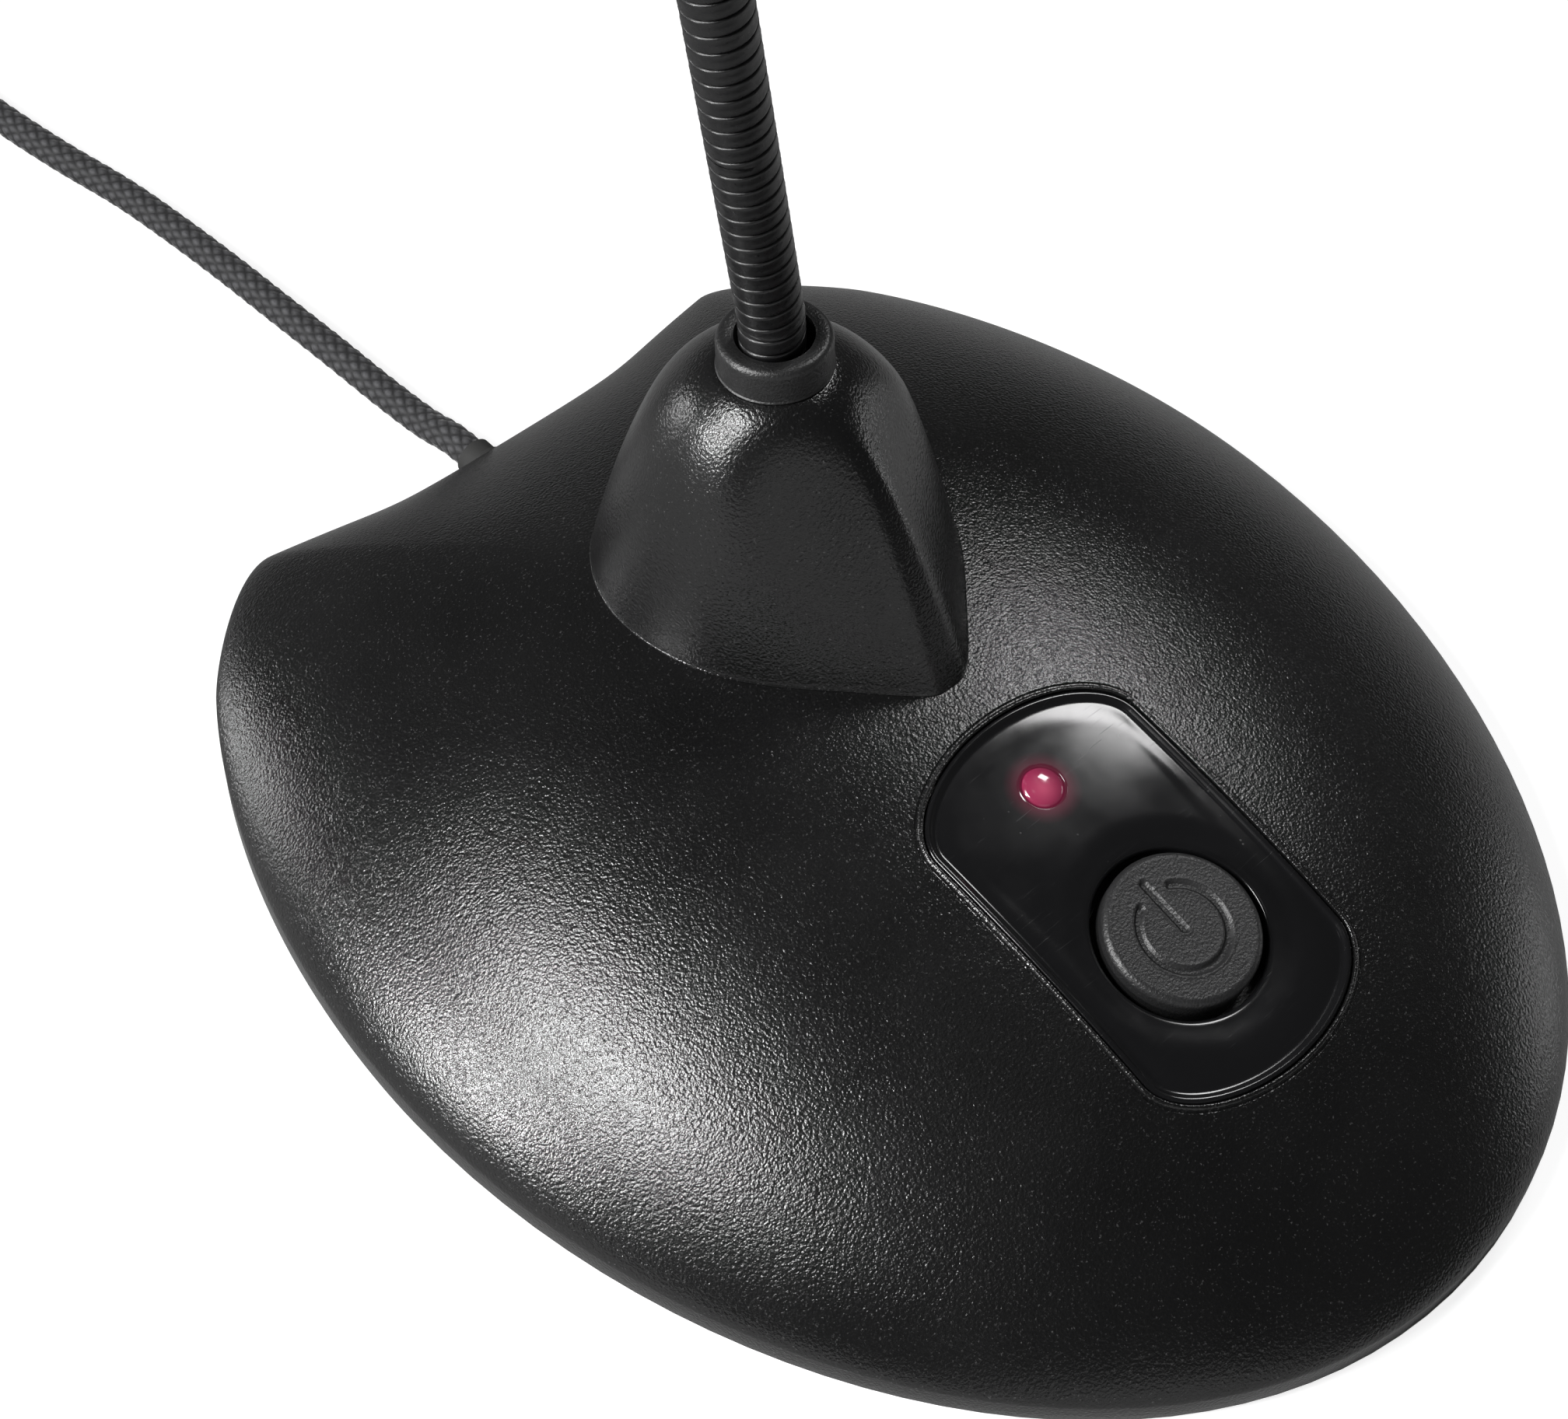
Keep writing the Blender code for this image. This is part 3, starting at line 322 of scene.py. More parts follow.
def settle(obj, name, look, smooth=None):
    """Names a finished piece, puts its place in its mesh and gives it its finish."""
    only_this(obj)
    bpy.ops.object.transform_apply(location=True, rotation=True, scale=True)
    bpy.ops.object.mode_set(mode="EDIT")
    bpy.ops.mesh.select_all(action="SELECT")
    bpy.ops.mesh.remove_doubles(threshold=0.0000005)
    bpy.ops.mesh.normals_make_consistent(inside=False)
    bpy.ops.object.mode_set(mode="OBJECT")
    if smooth is not None:
        bpy.ops.object.shade_smooth_by_angle(angle=math.radians(smooth))
    obj.name = name
    obj.data.name = name
    obj.data.materials.clear()
    obj.data.materials.append(look)
    return obj


def box_at(low, high):
    """A cube added between two corners, in metres."""
    bpy.ops.object.select_all(action="DESELECT")
    middle = [(a + b) / 2 for a, b in zip(low, high)]
    bpy.ops.mesh.primitive_cube_add(size=1.0, location=middle, scale=[b - a for a, b in zip(low, high)])
    made = bpy.context.object
    bpy.ops.object.transform_apply(location=True, rotation=True, scale=True)
    return made


def pick_faces(obj, wanted):
    """In edit mode, selects only the faces for which wanted(centre, normal) holds."""
    bpy.ops.mesh.select_mode(type="FACE")
    bpy.ops.mesh.select_all(action="DESELECT")
    bm = bmesh.from_edit_mesh(obj.data)
    for face in bm.faces:
        if wanted(face.calc_center_median(), face.normal):
            face.select = True
    bm.select_flush_mode()
    bmesh.update_edit_mesh(obj.data)


def draw_out(x=0.0, y=0.0, z=0.0):
    """In edit mode, extrudes the picked faces by so many millimetres."""
    bpy.ops.mesh.extrude_region_move(TRANSFORM_OT_translate={"value": (x * mm, y * mm, z * mm)})


def round_edges(obj, width, segments=3, angle=40.0):
    """Rounds the sharp edges of a piece with a Bevel that is applied."""
    only_this(obj)
    rounding = obj.modifiers.new("round", "BEVEL")
    rounding.width = width
    rounding.segments = segments
    rounding.limit_method = "ANGLE"
    rounding.angle_limit = math.radians(angle)
    rounding.harden_normals = False
    bpy.ops.object.modifier_apply(modifier="round")


def cut_out(obj, cutter):
    """Takes cutter's shape out of obj and removes cutter."""
    only_this(obj)
    taking = obj.modifiers.new("cut", "BOOLEAN")
    taking.operation = "DIFFERENCE"
    taking.solver = "EXACT"
    taking.object = cutter
    bpy.ops.object.modifier_apply(modifier="cut")
    bpy.data.objects.remove(cutter)


def moulded(name, dark, light, grain, roughness, bump, specular=0.5, painted_glint=0.0):
    """Moulded plastic or rubber: fine pebble grain, small colour drift, pale flecks added to the base colour as
    painted glints of the grain, and highlights that drift with the roughness.
    """
    look = Finish(name, specular)
    fine, coarse, drift = look.noise(grain, 2.0, 0.55), look.noise(grain * 0.8, 1.0), look.noise(45.0, 3.0, 0.6)
    # Pale flecks added to the base colour where the fine grain peaks: painted glints of light.
    painted_glints = look.ramp(fine, (0.0, 0.0, 0.0), (painted_glint,) * 3, 0.64, 0.78)
    look.give("Base Color", look.blended("ADD", 1.0, look.ramp(drift, dark, light, 0.3, 0.7), painted_glints))
    drifting = look.span(drift, roughness - 0.09, roughness - 0.05, 0.3, 0.7)
    look.give("Roughness", look.maths("MULTIPLY_ADD", fine, 0.14, drifting))
    look.embossed(look.maths("ADD", fine, coarse), 1.0, bump)
    return look.material


def metal(name, dark, light, roughness, brushed=(1.0, 1.0, 1.0), scale=900.0, bump=0.00001):
    """Plated or bare metal: brushed or blasted grain, faint stains and rubbed edges."""
    look = Finish(name)
    look.give("Metallic", 1.0)
    stretch = look.over("Mapping", "Vector", Scale=brushed)
    lines = look.add("TexNoise", Vector=stretch, Scale=scale, Detail=4.0, Roughness=0.65).outputs["Fac"]
    stain = look.noise(120.0, 3.0, 0.6)
    stains = look.ramp(stain, (0.75, 0.75, 0.76), (1.1, 1.1, 1.1), 0.35, 0.65)
    look.give("Base Color", look.blended("MULTIPLY", 0.5, look.ramp(lines, dark, light, 0.3, 0.7), stains))
    look.give("Roughness", look.span(stain, roughness - 0.08, roughness + 0.1, 0.3, 0.7))
    look.embossed(lines, 0.6, bump)
    return look.material


def refinish(look, *names):
    """Gives CAD parts that are kept as they are their finish."""
    for name in names:
        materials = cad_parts[name].data.materials
        materials.clear()
        materials.append(look)


plug_x = tail_at.x
grip_rear = tail_at.y - tail_length - 0.3 * mm
grip_front = grip_rear - 24.0 * mm
shell_rear = grip_front - 0.3 * mm
shell_front = shell_rear - 14.0 * mm
grip_plastic = moulded("plug grip plastic", (0.012, 0.012, 0.013), (0.02, 0.02, 0.021), 2600.0, 0.55, 0.00003)

grip_half = 7.75 * mm
grip = box_at((plug_x - grip_half, grip_front, 0.0), (plug_x + grip_half, grip_rear, 7.6 * mm))
bpy.ops.object.mode_set(mode="EDIT")
pick_faces(grip, lambda c, n: n.y > 0.9)
bpy.ops.mesh.inset(thickness=1.1 * mm)
bpy.ops.transform.resize(value=(0.62, 1.0, 0.8), center_override=(plug_x, grip_rear, plug_mid_z))
for way in (1.0, -1.0):
    pick_faces(grip, lambda c, n: n.z * way > 0.9)
    bpy.ops.mesh.inset(thickness=1.6 * mm)
    draw_out(z=-0.4 * way)
bpy.ops.object.mode_set(mode="OBJECT")
round_edges(grip, 0.9 * mm, 4, 30.0)
for k in range(7):
    y = grip_rear - (3.2 + 1.5 * k) * mm
    for side in (-1.0, 1.0):
        x = plug_x + side * grip_half
        rib_gap = box_at((x - 0.35 * mm, y - 0.35 * mm, 1.2 * mm), (x + 0.35 * mm, y + 0.35 * mm, 6.4 * mm))
        cut_out(grip, rib_gap)
settle(grip, "plug_grip", grip_plastic, 35.0)
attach(grip, "base")
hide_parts("plug_body")

shell_half = 6.0 * mm
shell_low, shell_high = plug_mid_z - 2.25 * mm, plug_mid_z + 2.25 * mm
shell = box_at((plug_x - shell_half, shell_front, shell_low), (plug_x + shell_half, shell_rear, shell_high))
bpy.ops.object.mode_set(mode="EDIT")
pick_faces(shell, lambda c, n: n.y < -0.9)
bpy.ops.mesh.inset(thickness=0.35 * mm)
draw_out(y=13.2)
bpy.ops.object.mode_set(mode="OBJECT")
for z in (shell_low, shell_high):
    for side in (-1.0, 1.0):
        window = Vector((plug_x + side * 2.6 * mm, shell_front + 6.0 * mm, z))
        half = Vector((1.25, 1.25, 0.2)) * mm
        cut_out(shell, box_at(window - half, window + half))
round_edges(shell, 0.12 * mm, 2, 40.0)
plug_steel = metal("plug steel", (0.55, 0.55, 0.56), (0.78, 0.78, 0.79), 0.28, (0.3, 8.0, 1.0))
settle(shell, "plug_sleeve", plug_steel, 35.0)
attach(shell, "base")
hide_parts("plug_shell")

tongue_plastic = moulded("white contact plastic", (0.62, 0.62, 0.6), (0.74, 0.74, 0.72), 1800.0, 0.5, 0.00001)
refinish(tongue_plastic, "plug_tongue")

# Strain relief: a short tapered rubber sleeve with rings, from the grip on to the lead.
bpy.ops.object.select_all(action="DESELECT")
bpy.ops.mesh.primitive_cylinder_add(vertices=40, radius=2.9 * mm, depth=1.0 * mm,
    location=(plug_x, grip_rear + 0.5 * mm, plug_mid_z), rotation=(-math.pi / 2, 0.0, 0.0))
relief = bpy.context.object
bpy.ops.object.transform_apply(location=True, rotation=True, scale=True)
bpy.ops.object.mode_set(mode="EDIT")
for step, share in (
    (0.5, 0.86), (0.8, 1.0), (0.1, 1.08), (0.8, 1.0), (0.1, 0.9), (0.8, 1.0), (0.1, 1.08), (0.8, 1.0), (0.3, 0.86),
):
    pick_faces(relief, lambda c, n: n.y > 0.9)
    draw_out(y=step)
    top = max(v.co.y for v in bmesh.from_edit_mesh(relief.data).verts)
    bpy.ops.transform.resize(value=(share, 1.0, share), center_override=(plug_x, top, plug_mid_z))
bpy.ops.object.mode_set(mode="OBJECT")
round_edges(relief, 0.12 * mm, 2, 40.0)
settle(relief, "plug_relief", grip_plastic, 40.0)
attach(relief, "base")

# ---------------------------------------------------------------- strap
# Hook-and-loop strap round the coil: a flat band whose end laps over itself.
strap_x, strap_y = coil_at.x - 4.0 * mm, coil_at.y - 20.0 * mm
strap_half = (15.0 / 2 + 0.8) * mm
strap_low = 0.12 * mm
coil_top = max(p.z for p in coil if p.y < coil_at.y - 10.0 * mm) + lead_r


def strap_line():
    """The strap's rounded path round the turns, seen along X."""
    low, high = strap_low + 0.9 * mm, coil_top + 0.15 * mm
    centre_z, half_z, r = (low + high) / 2, (high - low) / 2, 3.4 * mm
    line = []
    for cy, cz, start in ((1, 1, 0), (-1, 1, 90), (-1, -1, 180), (1, -1, 270)):
        for k in range(9):
            a = math.radians(start + 90 * k / 8)
            y = strap_y + cy * (strap_half - r) + r * math.cos(a)
            line.append((y, centre_z + cz * (half_z - r) + r * math.sin(a)))
    return line


bpy.ops.object.select_all(action="DESELECT")
bpy.ops.mesh.primitive_circle_add(vertices=36, radius=8.0 * mm, fill_type="NOTHING")
strap = bpy.context.object
for vertex, (y, z) in zip(strap.data.vertices, strap_line()):
    vertex.co = (strap_x, y, z)
bpy.ops.object.mode_set(mode="EDIT")
bpy.ops.mesh.select_all(action="SELECT")
for k in range(8):
    draw_out(x=1.0)
bpy.ops.mesh.select_all(action="SELECT")
bpy.ops.mesh.normals_make_consistent(inside=False)
bpy.ops.object.mode_set(mode="OBJECT")
thick = strap.modifiers.new("thick", "SOLIDIFY")
thick.thickness = 0.75 * mm
thick.offset = 1.0
only_this(strap)
bpy.ops.object.modifier_apply(modifier="thick")
round_edges(strap, 0.15 * mm, 2, 50.0)


def looped_cloth(name, dark, light):
    """Hook-and-loop cloth: tiny loops packed together, with painted shade between them, and a ribbed weave under
    them.
    """
    look = Finish(name, 0.2)
    loops = look.over("TexVoronoi", "Distance", Scale=2600.0, feature="F1")
    fuzz = look.noise(1500.0, 4.0, 0.7)
    ribs = look.over("TexWave", "Fac", Scale=320.0, Distortion=1.5, bands_direction="X")
    tone = look.ramp(fuzz, dark, light, 0.3, 0.7)
    # Darker away from each loop's middle: painted shade between the loops.
    between = look.ramp(loops, (1.2, 1.2, 1.2), (0.4, 0.4, 0.4), 0.0, 0.6)
    look.give("Base Color", look.blended("MULTIPLY", 0.6, tone, between))
    look.give("Roughness", look.span(fuzz, 0.75, 0.95))
    look.give("Sheen Weight", 0.4)
    look.embossed(look.maths("MULTIPLY_ADD", ribs, 0.3, fuzz), 0.8, 0.0001)
    return look.material


lap = box_at(
    (coil_at.x - 3.9 * mm, strap_y - 6.0 * mm, coil_top + 0.9 * mm),
    (coil_at.x + 3.9 * mm, strap_y + 3.0 * mm, coil_top + 1.5 * mm),
)
bpy.ops.object.mode_set(mode="EDIT")
bpy.ops.mesh.select_all(action="SELECT")
bpy.ops.mesh.subdivide(number_cuts=5)
bpy.ops.object.mode_set(mode="OBJECT")
for vertex in lap.data.vertices:
    past = max(abs(vertex.co.y - strap_y + 1.5 * mm) - 2.5 * mm, 0.0)
    vertex.co.z -= 18.0 * past * past + 0.02 * mm
round_edges(lap, 0.15 * mm, 2, 50.0)
only_this(strap)
lap.select_set(True)
bpy.ops.object.join()
strap_cloth = looped_cloth("strap cloth", (0.008, 0.008, 0.009), (0.028, 0.028, 0.03))
settle(strap, "lead_strap", strap_cloth, 40.0)
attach(strap, "base")
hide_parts("cord_tie")

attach(lead, "base")
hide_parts("cord", "cord_coil", "cord_tail")

# ---------------------------------------------------------------- base cover
# The moulded ABS cover of the base: a low dome with a pointed front, a nearly
# straight rear edge and a fine spark-eroded grain. A pocket is sunk in its
# front for the control panel. Its free curves are drawn by rule, in code.
neck_y = 24.5 * mm
crown = Vector((0.0, 14.5 * mm))
crown_z = 25.0 * mm
wall = 2.4 * mm
widest = Vector((57.0, 8.8)) * mm
corner_side = Vector((43.0, 55.0)) * mm
corner_rear = Vector((28.2, 65.8)) * mm
across, onward = Vector((1.0, 0.0)), Vector((0.0, 1.0))


def right_and_left(knots, steps):
    """A closed outline from the knots of its right half: (place, pull before, pull after)."""
    right = []
    for (a, _, a_out), (b, b_in, _) in zip(knots, knots[1:]):
        right.extend(p.to_2d() for p in interpolate_bezier(a, a + a_out, b + b_in, b, steps + 1)[:-1])
    right.append(knots[-1][0].copy())
    return right + [Vector((-p.x, p.y)) for p in reversed(right[1:-1])]


def heading(degrees):
    """The level direction at that many degrees from +X."""
    return Vector((math.cos(math.radians(degrees)), math.sin(math.radians(degrees))))


def base_outline(steps):
    """The foot of the base: its sides bulge, its rear corners are tight and its rear edge nearly straight."""
    side, rear = heading(126), heading(9.5)
    outline = right_and_left([
        (Vector((0.0, -65.5 * mm)), None, across * 33.0 * mm),
        (widest, onward * -38.0 * mm, onward * 15.5 * mm),
        (corner_side, side * -16.0 * mm, side * 4.0 * mm),
        (corner_rear, rear * 4.0 * mm, rear * -15.2 * mm),
        (Vector((0.0, 62.9 * mm)), across * 18.0 * mm, None),
    ], steps)
    for p in outline:
        p.y -= 0.04 * p.x * min(max((p.y - 15.0 * mm) / (corner_rear.y - 15.0 * mm), 0.0), 1.0)
    return outline


def rear_share(away):
    """0 round the front and sides of the dome, rising to 1 towards its rear edge."""
    return eased((away.y / away.length - 0.2) / 0.75)


def dome_z(rho, rear):
    """The dome's height at level rho, which runs from 0 at the crown to 1 at the edge."""
    foot = (3.7 + 1.9 * rear) * mm
    return foot + (crown_z - foot) * (1.0 - rho ** (2.0 - 0.3 * rear)) ** (1.0 / (1.4 - 0.2 * rear))


edge = base_outline(30)
bearings = sorted((math.atan2(p.y - crown.y, p.x), (p - crown).length) for p in edge)


def reach_at(bearing):
    """How far the outline lies from the crown at a bearing."""
    place = bisect.bisect(bearings, (bearing, 0.0))
    low, high = bearings[place - 1], bearings[place % len(bearings)]
    share = ((bearing - low[0]) % (2 * math.pi)) / max((high[0] - low[0]) % (2 * math.pi), 1e-9)
    return low[1] + (high[1] - low[1]) * share


def even_reach(bearing):
    """The same with the corners evened out, which the dome follows near its crown."""
    total = weight = 0.0
    for k in range(-12, 13):
        beside = (bearing + math.radians(k * 3.0) + math.pi) % (2 * math.pi) - math.pi
        w = math.exp(-((k / 5.5) ** 2))
        total, weight = total + w * reach_at(beside), weight + w
    return total / weight


evened = [even_reach(math.radians(d)) for d in range(-180, 180)]


def dome_reach(rho, bearing):
    """How far from the crown the dome's level rho lies at a bearing."""
    place = math.degrees(bearing) + 180.0
    k = math.floor(place)
    even = evened[k % 360] + (evened[(k + 1) % 360] - evened[k % 360]) * (place - k)
    true = reach_at(bearing)
    return rho * (even + (true - even) * rho**2.2)


def dome_at(x, y):
    """The height of the cover's outside above a place on the desk."""
    away = Vector((x, y)) - crown
    if away.length < 1e-6:
        return crown_z
    bearing = math.atan2(away.y, away.x)
    low, high = 0.0, 1.0
    for _ in range(22):
        rho = (low + high) / 2
        low, high = (rho, high) if dome_reach(rho, bearing) < away.length else (low, rho)
    return dome_z(rho, rear_share(away))


def lofted(name, rings, first_cap=True, last_cap=True):
    """A closed skin through rings of equal count."""
    bm = bmesh.new()
    rows = [[bm.verts.new(p) for p in ring] for ring in rings]
    count = len(rows[0])
    for low, high in zip(rows, rows[1:]):
        for i in range(count):
            bm.faces.new((low[i], low[(i + 1) % count], high[(i + 1) % count], high[i]))
    if first_cap:
        bm.faces.new(rows[0][::-1])
    if last_cap:
        bm.faces.new(rows[-1])
    return piece_from(bm, name)


# The outside from the crown down, the foot's rim, then the inside up again.
rings = []
spokes = [p - crown for p in edge]
for k in range(52):
    rho = 0.03 + 0.97 * (1.0 - (1.0 - k / 51) ** 2.1)
    ring = []
    for away in spokes:
        p = crown + away.normalized() * dome_reach(rho, math.atan2(away.y, away.x))
        ring.append((*p, dome_z(rho, rear_share(away))))
    rings.append(ring)
for inwards, z in ((0.0, 2.4), (0.0, 1.35), (0.1, 1.1), (0.35, 1.0), (2.0, 1.0), (2.35, 1.1), (2.4, 1.4), (2.4, 2.6)):
    rings.append([(*(p - away.normalized() * inwards * mm), z * mm) for p, away in zip(edge, spokes)])
for k in range(15):
    rho = 1.0 - (k / 14) ** 1.7 * 0.95
    ring = []
    for away in spokes:
        q = crown + (away - away.normalized() * wall) * rho
        ring.append((*q, max(dome_z(rho, rear_share(away)) - wall, 2.8 * mm)))
    rings.append(ring)
cover = lofted("cover", rings)

# The panel's own frame: its middle at the button, tilted with the dome.
panel_frame = Matrix.Translation((0.0, -29.7 * mm, 19.0 * mm)) @ Matrix.Rotation(math.radians(12.5), 4, "X")


def panel_outline(grow, steps=24):
    """The panel's rounded outline, with ends that bulge a little, grown all round."""
    w, top, bottom, r = (12.9 + grow) * mm, (25.6 + grow) * mm, (-15.2 - grow) * mm, (5.0 + grow) * mm
    bulge = 2.2 * mm
    return right_and_left([
        (Vector((0.0, bottom)), None, across * w * 0.55),
        (Vector((w, bottom + bulge + r)), onward * -r * 0.75, onward * r),
        (Vector((w, top - bulge - r)), onward * -r, onward * r * 0.75),
        (Vector((0.0, top)), across * w * 0.55, None),
    ], steps)


def dome_over_panel(u, v):
    """How far the cover's outside lies above the panel frame's plane at (u, v)."""
    w = 0.0
    for _ in range(6):
        p = panel_frame @ Vector((u, v, w))
        w += dome_at(p.x, p.y) - p.z
    return w


def post(radius, low, high, at, sides=48, frame_of=None):
    """A plain round cutter or blank, from low to high along Z of its frame."""
    bpy.ops.object.select_all(action="DESELECT")
    middle = (*at, (low + high) / 2)
    bpy.ops.mesh.primitive_cylinder_add(vertices=sides, radius=radius, depth=high - low, location=middle)
    made = bpy.context.object
    if frame_of:
        made.matrix_world = frame_of @ made.matrix_world
    bpy.ops.object.transform_apply(location=True, rotation=True, scale=True)
    return made


cut_out(cover, lofted("pocket", [
    [panel_frame @ Vector((*p, w)) for p in panel_outline(0.12)] for w in (-2.4 * mm, 6.0 * mm)
]))

# A fine round groove outside the pocket's bead.
groove_r = 0.12 * mm
rings = []
for k in range(9):
    a = math.pi * 2 * k / 8
    out, up = groove_r * math.cos(a), groove_r * math.sin(a)
    rings.append([
        panel_frame @ Vector((*(p + p.normalized() * out), dome_over_panel(*p) + up)) for p in panel_outline(0.76, 30)
    ])
groove = lofted("groove", rings, False, False)
only_this(groove)
bpy.ops.object.mode_set(mode="EDIT")
bpy.ops.mesh.select_all(action="SELECT")
bpy.ops.mesh.remove_doubles(threshold=0.0000005)
bpy.ops.mesh.normals_make_consistent(inside=False)
bpy.ops.object.mode_set(mode="OBJECT")
cut_out(cover, groove)
cut_out(cover, post(8.2 * mm, -20.0 * mm, 5.0 * mm, (0.0, 0.0), 64, panel_frame))
cut_out(cover, post(3.2 * mm, -20.0 * mm, 5.0 * mm, (0.0, 17.9 * mm), 48, panel_frame))
cut_out(cover, post(5.3 * mm, 5.0 * mm, 60.0 * mm, (0.0, neck_y)))
lead_hole = Matrix.Translation((-3.2 * mm, 62.9 * mm, 3.5 * mm)) @ Matrix.Rotation(math.radians(-90), 4, "X")
cut_out(cover, post(2.45 * mm, -12.0 * mm, 12.0 * mm, (0.0, 0.0), 48, lead_hole))
cover_plastic = moulded(
    "black grained cover", (0.004, 0.004, 0.0041), (0.0062, 0.0062, 0.0063), 3900.0, 0.215, 0.00005, 0.55, 0.05,
)
settle(cover, "base_cover", cover_plastic, 32.0)
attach(cover, "base")
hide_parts("base_shell")

# The fine raised bead that the moulding has round the panel's pocket.
bead = lofted("bead", [
    [panel_frame @ Vector((*p, dome_over_panel(*p) + height * mm)) for p in panel_outline(out, 30)]
    for out, height in (
        (0.08, -1.6), (0.07, 0.0), (0.1, 0.1), (0.17, 0.16), (0.27, 0.18), (0.38, 0.16),
        (0.47, 0.09), (0.54, -0.02), (0.6, -0.2), (0.6, -1.6), (0.08, -1.6),
    )
], False, False)
settle(bead, "pocket_bead", cover_plastic, 60.0)
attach(bead, "base")

# ---------------------------------------------------------------- underside
# A sheet-steel plate closes the base, painted black and held by four Phillips
# screws; two more hold the ballast. Four round rubber feet are stuck on.
screw_places = [(-20.0, -43.0), (20.0, -43.0), (-40.0, 36.0), (40.0, 36.0)]
ballast_places = [(-17.0, 13.0), (17.0, 13.0)]

paint = moulded("painted plate", (0.012, 0.012, 0.013), (0.02, 0.02, 0.021), 2200.0, 0.5, 0.00002)
refinish(paint, "bottom_plate")

screw_zinc = metal("zinc screw", (0.32, 0.33, 0.34), (0.5, 0.51, 0.52), 0.34, (1.0, 1.0, 1.0), 2200.0)
first_screw = None
for number, (name, (x, y)) in enumerate(
    [(f"base_screw_{i + 1}", place) for i, place in enumerate(screw_places)]
    + [(f"ballast_screw_{i + 1}", place) for i, place in enumerate(ballast_places)]
):
    at = Vector((x, y, 0.0)) * mm
    if first_screw is None:
        # One screw is modelled: shank, pan head and its cross recess.
        head_low, head_high, shank_top = 0.15 * mm, 0.9 * mm, 10.6 * mm
        screw = post(1.35 * mm, head_high, shank_top, (0.0, 0.0), 24)
        bpy.ops.object.mode_set(mode="EDIT")
        pick_faces(screw, lambda c, n: n.z > 0.9)
        draw_out(z=0.5)
        bpy.ops.transform.resize(value=(0.5, 0.5, 1.0), center_override=(0.0, 0.0, shank_top))
        pick_faces(screw, lambda c, n: n.z < -0.9)
        draw_out()
        bpy.ops.transform.resize(value=(2.0, 2.0, 1.0), center_override=(0.0, 0.0, head_high))
        draw_out(z=-0.45)
        draw_out(z=-0.3)
        bpy.ops.transform.resize(value=(0.78, 0.78, 1.0), center_override=(0.0, 0.0, head_low))
        bpy.ops.object.mode_set(mode="OBJECT")
        for turn in (0.0, 90.0):
            arm = box_at((-1.45 * mm, -0.24 * mm, -0.2 * mm), (1.45 * mm, 0.24 * mm, 0.62 * mm))
            arm.data.transform(Matrix.Rotation(math.radians(turn), 4, "Z"))
            cut_out(screw, arm)
        first_screw = screw
    else:
        screw = first_screw.copy()
        screw.data = first_screw.data.copy()
        bpy.context.scene.collection.objects.link(screw)
        turned_there = Matrix.Translation(at) @ Matrix.Rotation(0.7 * number, 4, "Z")
        screw.data.transform(turned_there @ Matrix.Translation(-first_at))
    if number == 0:
        screw.data.transform(Matrix.Translation(at))
        first_at = at
    settle(screw, name + "_head", screw_zinc, 35.0)
    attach(screw, "base")
    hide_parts(name)

foot_rubber = moulded("foot rubber", (0.016, 0.016, 0.016), (0.028, 0.028, 0.027), 1500.0, 0.75, 0.00003, 0.3)
for number, (x, y) in enumerate(((-34.0, -26.0), (34.0, -26.0), (-26.0, 50.0), (26.0, 50.0))):
    foot = post(5.5 * mm, 0.0, 1.1 * mm, (x * mm, y * mm), 64)
    bpy.ops.object.mode_set(mode="EDIT")
    pick_faces(foot, lambda c, n: n.z < -0.9)
    bpy.ops.mesh.inset(thickness=1.2 * mm)
    bpy.ops.mesh.inset(thickness=0.25 * mm)
    draw_out(z=0.25)
    bpy.ops.object.mode_set(mode="OBJECT")
    round_edges(foot, 0.22 * mm, 3, 40.0)
    settle(foot, f"rubber_foot_{number + 1}", foot_rubber, 35.0)
    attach(foot, "base")
    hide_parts(f"foot_{number + 1}")

# The rubber bush that the lead leaves by: a collar in the hole, then a snug
# sleeve with a rounded mouth.
bush = post(2.5 * mm, -6.0 * mm, 0.3 * mm, (0.0, 0.0), 48, lead_hole)
bpy.ops.object.mode_set(mode="EDIT")
pick_faces(bush, lambda c, n: n.y > 0.9)
bpy.ops.mesh.inset(thickness=0.4 * mm)
draw_out(y=2.0)
bpy.ops.mesh.inset(thickness=0.35 * mm)
draw_out(y=-1.0)
bpy.ops.object.mode_set(mode="OBJECT")
round_edges(bush, 0.12 * mm, 3, 40.0)
settle(bush, "lead_bush", foot_rubber, 35.0)
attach(bush, "base")
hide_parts("cord_grommet")

# ---------------------------------------------------------------- inside
# Hidden when the plate is on: a cast steel ballast, the threaded bush and nut
# that hold the neck, and the small circuit board with its switch.
ballast_iron = metal("cast ballast", (0.11, 0.11, 0.115), (0.2, 0.2, 0.205), 0.55, scale=700.0, bump=0.00006)
bush_zinc = metal("zinc bush", (0.4, 0.41, 0.42), (0.6, 0.61, 0.62), 0.32, (1.0, 1.0, 12.0), 500.0)
capsule_tin = metal("capsule can", (0.55, 0.54, 0.5), (0.75, 0.74, 0.7), 0.3, (1.0, 1.0, 9.0), 600.0)
post_brass = metal("brass post", (0.5, 0.36, 0.14), (0.72, 0.53, 0.22), 0.3, (1.0, 1.0, 8.0), 600.0)
switch_plastic = moulded("switch plastic", (0.014, 0.014, 0.015), (0.025, 0.025, 0.026), 2400.0, 0.45, 0.00001)


